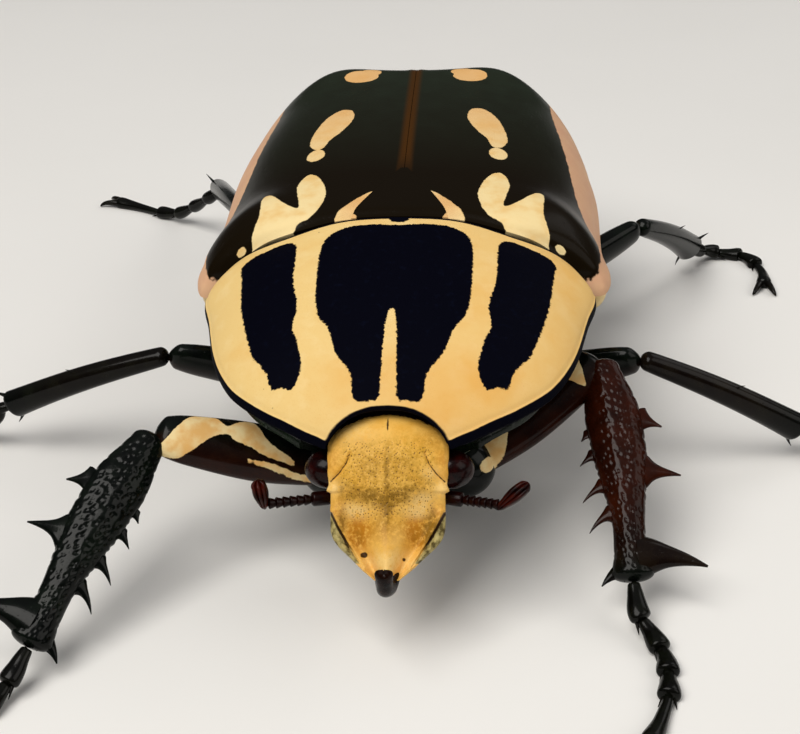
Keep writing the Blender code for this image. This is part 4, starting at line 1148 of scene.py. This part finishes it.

# %% [markdown]
# ## The legs
# All legs are polished black, with a cream patch on some thighs. A red-brown glow of light through the
# cuticle is painted into the colour: on the lower face of each thigh, strongly on the left front shin and
# faintly on the middle shins. Each leg has a hip in the body, a thigh, a shin that is broad across its bend,
# and a foot of five cup-shaped joints with a pair of claws. The front shins are flat, with three strong teeth
# outside, five small ones inside and rows of pits along them.


# %% Leg finish
LEG_BLACK, LEG_SHEEN = (0.0012, 0.0018, 0.0014), (0.003, 0.005, 0.003)
# painted glow: the red-brown of light through the cuticle, from its deep to its bright end
RED_DEEP, RED_GLOW = (0.007, 0.0013, 0.0006), (0.036, 0.006, 0.0014)


def leg_finish():
    """Glossy black with a painted red-brown glow where the field "red" says, and cream stripes with amber
    clouds.
    """
    f = Finish("leg_gloss", Specular_IOR_Level=0.08, Coat_Weight=0.11, Coat_Roughness=0.03)
    cloud = f.noise(1.4, 4.0)
    black = f.mix(cloud.between(0.4, 0.7), LEG_BLACK, LEG_SHEEN)
    red = f.mix(cloud, RED_DEEP, RED_GLOW)
    # painted glow: red-brown mixed into the black where the field "red" says
    colour = f.mix((f.field("red") * (0.5 + cloud)).below(1.0), black, red)
    cream = ragged(f, f.field("cream"), 0.15, 0.4)
    colour = f.mix(cream, colour, f.mix(cloud.between(0.35, 0.65) * 0.65 + 0.35, AMBER, CREAM_PALE))
    grain = f.noise(0.15, 3.0)
    pores = f.cells(0.35).between(0.0, 0.25)
    normal = f.relief(pores + grain * 0.3, 0.012)
    return f.wear(Base_Color=colour, Roughness=0.14 + grain * 0.14 + cream * 0.2, Normal=normal)


leg_gloss = leg_finish()

# %% The joints of each leg
LEGS = {
    "front_left": dict(
        hip=(4.2, 6.6, 6.6), knee=(13.5, 11.6, 11.8), ankle=(15.1, -1.0, 2.9),
        foot=[(15.3, -2.6, 1.9), (16.1, -4.0, 1.1), (16.8, -6.2, 0.75),
              (16.7, -8.6, 0.75), (16.0, -11.2, 0.75), (15.1, -13.4, 0.8)]),
    "front_right": dict(
        hip=(4.2, 6.6, 6.6), knee=(15.5, 4.5, 10.4), ankle=(21.8, -7.6, 2.7),
        foot=[(22.4, -8.8, 1.9), (23.3, -10.5, 1.1), (24.4, -12.6, 0.75),
              (25.3, -14.9, 0.75), (26.0, -17.3, 0.75), (26.4, -19.2, 0.8)]),
    "middle_left": dict(
        hip=(4.6, 19.6, 5.2), knee=(16.7, 16.4, 9.3), ankle=(28.6, 17.6, 2.7),
        foot=[(29.8, 17.8, 2.0), (31.5, 18.4, 1.1), (33.5, 19.4, 0.75),
              (35.4, 20.7, 0.75), (37.1, 22.2, 0.75), (38.4, 23.5, 0.8)]),
    "middle_right": dict(
        hip=(4.6, 19.6, 5.2), knee=(17.0, 17.2, 9.3), ankle=(29.8, 18.7, 4.2),
        foot=[(31.0, 18.9, 3.2), (32.7, 19.6, 1.8), (34.7, 20.7, 0.8),
              (36.5, 22.0, 0.75), (38.2, 23.5, 0.75), (39.4, 24.9, 0.8)]),
    "hind_left": dict(
        hip=(4.8, 29.0, 5.0), knee=(18.3, 37.4, 10.0), ankle=(24.0, 48.6, 2.8),
        foot=[(24.9, 50.2, 1.9), (26.6, 51.6, 1.1), (28.6, 51.6, 0.75),
              (30.0, 49.8, 0.75), (30.4, 47.4, 0.75), (30.2, 45.2, 0.8)]),
    "hind_right": dict(
        hip=(4.8, 29.0, 5.0), knee=(14.7, 41.8, 9.4), ankle=(19.2, 55.4, 6.0),
        foot=[(20.4, 56.8, 4.9), (22.6, 59.0, 2.9), (25.2, 61.2, 1.2),
              (27.8, 63.0, 0.75), (30.2, 64.4, 0.75), (31.9, 65.2, 0.8)]),
}
THIGH_LENGTH = 12
COXA_RADII = {"front": (2.3, 1.9, 2.2), "middle": (2.7, 2.1, 1.9), "hind": (3.6, 1.9, 1.6)}
FEMUR_RADII = {"front": (1.95, 1.25), "middle": (1.7, 1.1), "hind": (1.9, 1.2)}
FEMUR_SWELL = [(0, 0.62), (0.12, 0.8), (0.45, 1.0), (0.8, 0.86), (0.94, 0.7), (1, 0.42)]
TIBIA_RADII = {"front": (1.85, 1.05), "middle": (1.02, 0.85), "hind": (1.1, 0.85)}
THIN_SWELL = [(0, 0.62), (0.1, 0.72), (0.5, 0.95), (0.85, 1.1), (1, 1.2)]
TIBIA_SWELL = {
    "front": [(0, 0.55), (0.08, 0.68), (0.28, 1.0), (0.45, 0.95), (0.6, 0.76), (0.78, 0.56), (0.88, 0.6),
              (1, 0.8)],
    "middle": THIN_SWELL,
    "hind": THIN_SWELL,
}
TEETH = {  # share of the way down the shin, reach (below zero on the inside), lean and radius
    "front": [(0.29, 3.3, 0.9, 0.8), (0.53, 4.0, 0.7, 0.95), (0.9, 4.7, 1.2, 1.5), (0.31, -2.0, 0.8, 0.4),
              (0.42, -2.3, 0.8, 0.5), (0.57, -2.45, 1.0, 0.5), (0.7, -2.3, 1.1, 0.5),
              (0.95, -2.0, 0.8, 0.75)],
    "middle": [(0.5, 1.8, 0.7, 0.4), (0.95, 2.0, 0.9, 0.5), (0.95, -2.0, 1.3, 0.42)],
    "hind": [(0.52, 1.8, 0.7, 0.4), (0.95, 2.1, 0.9, 0.5), (0.95, -2.1, 1.4, 0.42)],
}
# painted glow down each shin: strong on the left front one, faint on the middle ones
SHIN_GLOW = {"front_left": 0.9, "middle_left": 0.15, "middle_right": 0.1}
CREAM_STRIPS = {  # share from hip to knee: (upper edge, lower edge), from -1 above to 1 below
    "front_right": [
        [(0.24, 0.28, 0.44), (0.3, 0.07, 0.36), (0.4, -0.27, 0.26), (0.5, -0.95, 0.04), (0.58, -0.8, -0.1),
         (0.63, -0.6, -0.3), (0.7, -0.95, -0.12), (0.76, -0.95, 0.24), (0.82, -0.9, 0.66), (0.88, -0.5, 0.95),
         (0.94, 0.2, 1.0), (0.97, 0.7, 1.0)],
        [(0.1, 0.72, 0.95), (0.2, 0.7, 0.9), (0.3, 0.54, 0.75), (0.4, 0.45, 0.62), (0.5, 0.45, 0.53)]],
    "front_left": [
        [(0.04, 0.0, 1.0), (0.12, 0.0, 1.0), (0.2, 0.0, 0.9), (0.27, 0.05, 0.6), (0.32, 0.2, 0.25)],
        [(0.62, -1.2, -0.9), (0.7, -1.2, -0.2), (0.77, -1.2, 0.1), (0.8, -1.2, 0.45), (0.825, -1.2, 0.7),
         (0.85, -1.2, 0.4), (0.87, -1.2, 0.1), (0.9, -1.2, -0.5), (0.93, -1.2, -0.95)]],
}


def leg_frame(name):
    """A leg's joints in the beetle's frame, and the way its outer edge faces below the knee."""
    mirror = [SIDES[name.split("_")[1]], 1, 1]
    joints = (LEGS[name][key] for key in ("hip", "knee", "ankle", "foot"))
    hip, knee, ankle, foot = (np.array(joint, float) * mirror for joint in joints)
    shin = unit(ankle - knee)
    back = hip - knee
    return hip, knee, ankle, foot, unit(-(back - shin * (back @ shin)))


for name in LEGS:
    _, knee, ankle, _, _ = leg_frame(name)
    print(f"{name}: shin {np.linalg.norm(ankle - knee):.1f} mm, ankle {ankle[2] - FLOOR:.1f} mm up")


# %% Hip and thigh
HIP_CREAM = (0.80, -0.50, 0.33)  # the way from the middle of the hip to its cream


def coxa_form(name):
    """An egg in the body's socket; the left front one carries the end of the thigh's cream."""
    hip, kind = leg_frame(name)[0], name.split("_")[0]
    form = egg(hip, COXA_RADII[kind], 56, 36, red=0.0, cream=OUTSIDE)
    if name == "front_left":
        ways = (form[0] - hip) / COXA_RADII[kind]
        form[3]["cream"] = 0.62 - 1.8 * np.linalg.norm((ways - HIP_CREAM) * [1, 1, 1.6], axis=-1)
    return form


def femur_form(name):
    """A spindle from hip to knee; each strip of cream lies between two edges on its upper face."""
    hip, knee, ankle, _, _ = leg_frame(name)
    broad, thin = FEMUR_RADII[name.split("_")[0]]
    t = np.linspace(0, 1, 110)
    swell = (through(FEMUR_SWELL, t) * dome_ends(t, 0.05))[:, None]
    centres = hip + (knee - hip) * t[:, None]
    bend = np.cross(knee - hip, np.cross(ankle - knee, knee - hip))
    turn = full_turn(64)
    _, wide, thin_way = tube_frame(centres, bend)
    height, upwards = np.cos(turn)[None], np.sin(turn)[None] * np.sign(thin_way[:, 2:])
    cream = np.full((len(t), len(turn)), OUTSIDE)
    for strip in CREAM_STRIPS.get(name, []):
        share, top, bottom = np.array(strip).T
        above, below = (through(list(zip(share, edge)), t)[:, None] for edge in (top, bottom))
        between = np.minimum(np.minimum(height - above, below - height) * broad, (upwards + 0.25) * thin)
        ends = np.minimum(t - share[0], share[-1] - t)[:, None] * THIGH_LENGTH
        cream = np.maximum(cream, np.minimum(between, ends))
    # painted glow: red-brown on the lower face of each thigh, none on its top
    red = np.clip(0.15 + 0.6 * height, 0.0, 0.7)
    return tube(centres, bend, swell * [broad, thin], 64, red=red, cream=cream)


for name in LEGS:
    hip = make(f"hip_{name}", [coxa_form(name)], leg_gloss)
    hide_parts(f"{name}_coxa")
    thigh = make(f"thigh_{name}", [femur_form(name)], leg_gloss)
    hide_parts(f"{name}_femur")


# %% Shin and teeth
SHIN_BOW = 0.35
TOOTH_TAPER = [(0, 1.0), (0.2, 0.78), (0.45, 0.48), (0.8, 0.2), (1, 0.05)]
TOOTH_ROOT = 0.3  # a tooth starts this share of the shin's half width out from its middle
OUTER_FOOT, INNER_FOOT = 0.65, 0.25  # how much wider a front tooth is where it leaves the shin
END_TOOTH = 0.8  # teeth further down than this have no such foot


def tooth_form(root, reach, lean, radius, shin, red, leaves, foot):
    """A spine along reach * t + shin * lean * t^2, its radius falling from the root to a rounded point.
    Where it leaves the shin it is wider by foot, which dies away on both sides of t = leaves."""
    t = np.linspace(0, 1, 22)
    centres = root + reach * t[:, None] + shin * lean * t[:, None] ** 2
    size = radius * through(TOOTH_TAPER, t)
    flare = foot * np.where(t < leaves, bell(t - leaves, 0.2), np.exp(-(t - leaves) / 0.12))
    return tube(centres, shin, np.stack([size + flare, size * 0.65], -1), 20, red=red, cream=OUTSIDE)


def tibia_forms(name):
    """The shin: a flattened tube with a ridge along each face and, on the front legs, rows of pits."""
    _, knee, ankle, _, outer = leg_frame(name)
    kind = name.split("_")[0]
    broad, thin = TIBIA_RADII[kind]
    front = kind == "front"
    count, around = (300, 144) if front else (140, 56)
    t = np.linspace(0, 1, count)
    swell = through(TIBIA_SWELL[kind], t)
    centres = knee + (ankle - knee) * t[:, None] + SHIN_BOW * np.sin(np.pi * t)[:, None] * outer
    radii = np.stack([broad * swell, thin * (0.55 + 0.45 * swell)], -1) * dome_ends(t, 0.04)[:, None]
    length = np.linalg.norm(ankle - knee)
    across = (np.cos(full_turn(around)) * broad)[None, :] * swell[:, None]
    body = np.sin(np.pi * t)[:, None] ** 0.5
    ridge = 0.08 * bell(across + 0.25, 0.35) * body
    if front:
        rows = pits(across + 10, 0.7 * (t[:, None] * length - 0.5 * across), 0.36, 0.15, 7, 0.95)
        swelling = ridge - 0.09 * rows * body
    else:
        swelling = 0.5 * ridge
    # painted glow on the shin and its teeth, fading out before the ankle
    red = SHIN_GLOW.get(name, 0.0)
    fade = red * rise(0.98 - t, 0.35)[:, None]
    made = [tube(centres, outer, radii, around, swelling, red=fade, cream=OUTSIDE)]
    shin = unit(ankle - knee)
    for share, reach, lean, radius in TEETH[kind]:
        edge = outer * math.copysign(1, reach)
        root = knee + (ankle - knee) * share + edge * TOOTH_ROOT * broad
        way = abs(reach) - TOOTH_ROOT * broad
        bow = math.copysign(SHIN_BOW * math.sin(math.pi * share), reach)
        leaves = (broad * (through(TIBIA_SWELL[kind], share) - TOOTH_ROOT) + bow) / way
        foot = 0.0
        if front and share < END_TOOTH:
            foot = OUTER_FOOT if reach > 0 else INNER_FOOT
        glow = red * rise(0.98 - share, 0.35)
        made.append(tooth_form(root, edge * way, lean, radius, shin, glow, leaves, foot))
    return made


# %% Foot
TARSUS_RADIUS = 0.72
TARSUS_JOINTS = [0, 0.19, 0.36, 0.52, 0.68, 1.0]  # where each joint ends, as shares of the foot's length
TARSUS_CUP = [(0, 0.5), (0.3, 0.7), (0.85, 1.0), (1, 0.85)]
LAST_CUP = [(0, 0.85), (0.5, 0.75), (1, 1.0)]
CLAW_LENGTH = 2.0
CLAW_RADIUS = 0.34
CLAW_TAPER = [(0, 1.0), (0.5, 0.72), (0.9, 0.35), (1, 0.12)]


def spine_forms(centres):
    """Two small straight spines, one either side of a cup's rim, that point ahead, out and down."""
    rim, ahead = centres[-4], unit(centres[-1] - centres[-8])
    aside = unit(np.cross(ahead, UP))
    forms = []
    for sign in SIDES.values():
        out = aside * sign * 0.45 - UP * 0.25
        spine = rim + out * TARSUS_RADIUS + (ahead * 0.75 + out * 0.5) * np.linspace(0, 1, 8)[:, None]
        forms.append(tube(spine, UP, np.linspace(0.15, 0.02, 8), 8, red=0.1, cream=OUTSIDE))
    return forms


def claw_forms(path):
    """Two claws at a path's end: ahead with the sin of an angle, and apart and down with its share."""
    tip = along(path, np.array([0.9, 0.98]))
    ahead = unit(tip[1] - tip[0])
    aside = np.cross(ahead, UP)
    t = np.linspace(0, 1, 30)[:, None]
    size = CLAW_RADIUS * through(CLAW_TAPER, t[:, 0])
    forms = []
    for sign in SIDES.values():
        reach = ahead * CLAW_LENGTH * np.sin(1.35 * t) + aside * sign * (0.25 + 0.75 * t)
        reach = reach - UP * (0.8 * t**2 - 0.4 * t)
        forms.append(tube(tip[1] - ahead * 0.3 + reach, UP, size, 24, red=0.1, cream=OUTSIDE))
    return forms


def tarsus_forms(name):
    """Five cups in a row, each narrow at its root, with spines at the rims of four, and two curved claws."""
    _, knee, ankle, foot, _ = leg_frame(name)
    shin = unit(ankle - knee)
    path = np.concatenate([[ankle + shin * 0.1, ankle + shin * (GAP + 0.5)], foot])
    t = np.linspace(0, 1, 36)
    forms = []
    for a, b in zip(TARSUS_JOINTS[:-1], TARSUS_JOINTS[1:]):
        centres = along(path, a - 0.012 + (b - a + 0.012) * t)
        radius = TARSUS_RADIUS * through(TARSUS_CUP, t) * dome_ends(t, 0.1)
        if b == 1.0:
            radius = radius * through(LAST_CUP, t)
        forms.append(tube(centres, UP, np.stack([radius * 0.85, radius], -1), 32, red=0.05, cream=OUTSIDE))
        if b < 1.0:
            forms += spine_forms(centres)
    forms += claw_forms(path)
    for points, _, _, _ in forms:
        points[:, 2] = np.maximum(points[:, 2], FLOOR)
    return forms


for name in LEGS:
    shin_piece = make(f"shin_{name}", tibia_forms(name), leg_gloss)
    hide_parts(f"{name}_tibia")
    foot_piece = make(f"foot_{name}", tarsus_forms(name), leg_gloss)
    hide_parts(f"{name}_tarsus")

# %% [markdown]
# ## Floor, light and camera
# A pale matt floor and soft light from large lamps show the form without hard shadows: a wide key from
# above and in front on the left, a fill on the right, and a weak lamp behind that draws a highlight along
# the polished legs. The camera looks down at the face from the front.


# %% Floor
FLOOR_RADIUS = 3.0
FLOOR_GREY, FLOOR_PALE = (0.76, 0.75, 0.73), (0.80, 0.79, 0.77)


def floor_disc():
    """A flat disc, rings of cos and sin at growing radii, just large enough to fill every view."""
    radius = np.concatenate([[0.02], np.linspace(0.1, FLOOR_RADIUS, 30)])[:, None]
    turn = full_turn(96)
    rings = np.stack(np.broadcast_arrays(radius * np.cos(turn), radius * np.sin(turn), 0 * turn), -1)
    count, around = rings.shape[:2]
    place = np.arange(count * around).reshape(count, around)
    turned = np.roll(place, -1, axis=1)
    quads = np.stack([place[:-1], place[1:], turned[1:], turned[:-1]], -1).reshape(-1, 4)
    fan = np.stack([np.full(around, count * around), place[0], turned[0]], -1)
    points = np.concatenate([rings.reshape(-1, 3), [[0, 0, 0]]])
    mesh = bpy.data.meshes.new("floor")
    mesh.from_pydata(points.tolist(), [], quads.tolist() + fan.tolist())
    mesh.shade_smooth()
    return mesh


def floor_finish():
    """Matt pale grey with slow, faint clouds."""
    f = Finish("pale_floor", Specular_IOR_Level=0.25)
    cloud = f.noise(40.0, 3.0)
    colour = f.mix(cloud, FLOOR_GREY, FLOOR_PALE)
    return f.wear(Base_Color=colour, Roughness=0.62 + cloud * 0.1)


floor = bpy.data.objects.new("floor", floor_disc())
floor.data.materials.append(floor_finish())
bpy.context.scene.collection.objects.link(floor)

# %% Light
LAMPS = {  # place, aim and size in metres, power in watts, and colour
    "key": ((-0.16, -0.20, 0.42), (0, 0, 0.01), 0.34, 2.3, (1.0, 0.97, 0.92)),
    "fill": ((0.35, -0.12, 0.25), (0, 0, 0.01), 0.3, 0.5, (1.0, 0.96, 0.90)),
    "back": ((0.30, 0.24, 0.30), (0, 0, 0.012), 0.25, 0.26, (1.0, 0.98, 0.95)),
}
SKY_COLOUR = (0.84, 0.85, 0.88, 1)
SKY_LOW, SKY_HIGH = 0.05, 0.42


def lamp(name, place, aim, size, power, colour):
    """A square area lamp at place, turned so that it shines at aim."""
    data = bpy.data.lights.new(name, "AREA")
    data.size, data.energy, data.color = size, power, colour
    made = bpy.data.objects.new(name, data)
    bpy.context.scene.collection.objects.link(made)
    made.location = place
    made.rotation_euler = (Vector(aim) - Vector(place)).to_track_quat("-Z", "Y").to_euler()
    return made


def soft_sky(low, high):
    """A plain studio sky whose strength rises from low at the horizon to high overhead, as height squared."""
    world = bpy.data.worlds.new("studio")
    world.use_nodes = True
    nodes, links = world.node_tree.nodes, world.node_tree.links
    sky = nodes["Background"]
    sky.inputs["Color"].default_value = SKY_COLOUR
    way, split = nodes.new("ShaderNodeTexCoord"), nodes.new("ShaderNodeSeparateXYZ")
    links.new(way.outputs["Generated"], split.inputs[0])
    height = split.outputs["Z"]
    for operation, value in (("MAXIMUM", 0.0), ("POWER", 2.0), ("MULTIPLY", high - low), ("ADD", low)):
        step = nodes.new("ShaderNodeMath")
        step.operation, step.inputs[1].default_value = operation, value
        links.new(height, step.inputs[0])
        height = step.outputs[0]
    links.new(height, sky.inputs["Strength"])
    return world


for name, settings in LAMPS.items():
    lamp(name, *settings)
    print("lamp", name, settings[3], "W")
bpy.context.scene.world = soft_sky(SKY_LOW, SKY_HIGH)
bpy.context.scene.view_settings.view_transform = "Standard"

# %% Camera
AZIMUTH, ELEVATION, ROLL = (math.radians(a) for a in (3.95, 29.1, -2.1))
DISTANCE = 105.0
TARGET = np.array([0.17, 10.0, 12.25])
LENS = 71.1
SENSOR_WIDTH = 36
level = math.cos(ELEVATION)
back = np.array([math.sin(AZIMUTH) * level, -math.cos(AZIMUTH) * level, math.sin(ELEVATION)])
right = np.array([math.cos(AZIMUTH), math.sin(AZIMUTH), 0.0])
up = np.cross(back, right)
right_rolled = right * math.cos(ROLL) + up * math.sin(ROLL)
up_rolled = up * math.cos(ROLL) - right * math.sin(ROLL)
eye_point = (TARGET + back * DISTANCE + shift) * MM
camera_data = bpy.data.cameras.new("camera")
camera_data.sensor_width = SENSOR_WIDTH
camera_data.lens = LENS
camera_data.clip_start = MM
camera = bpy.data.objects.new("camera", camera_data)
bpy.context.scene.collection.objects.link(camera)
pose = np.eye(4)
pose[:3] = np.stack([right_rolled, up_rolled, back, eye_point], -1)
camera.matrix_world = Matrix(pose.tolist())
bpy.context.scene.camera = camera
print("camera at", eye_point.round(4))
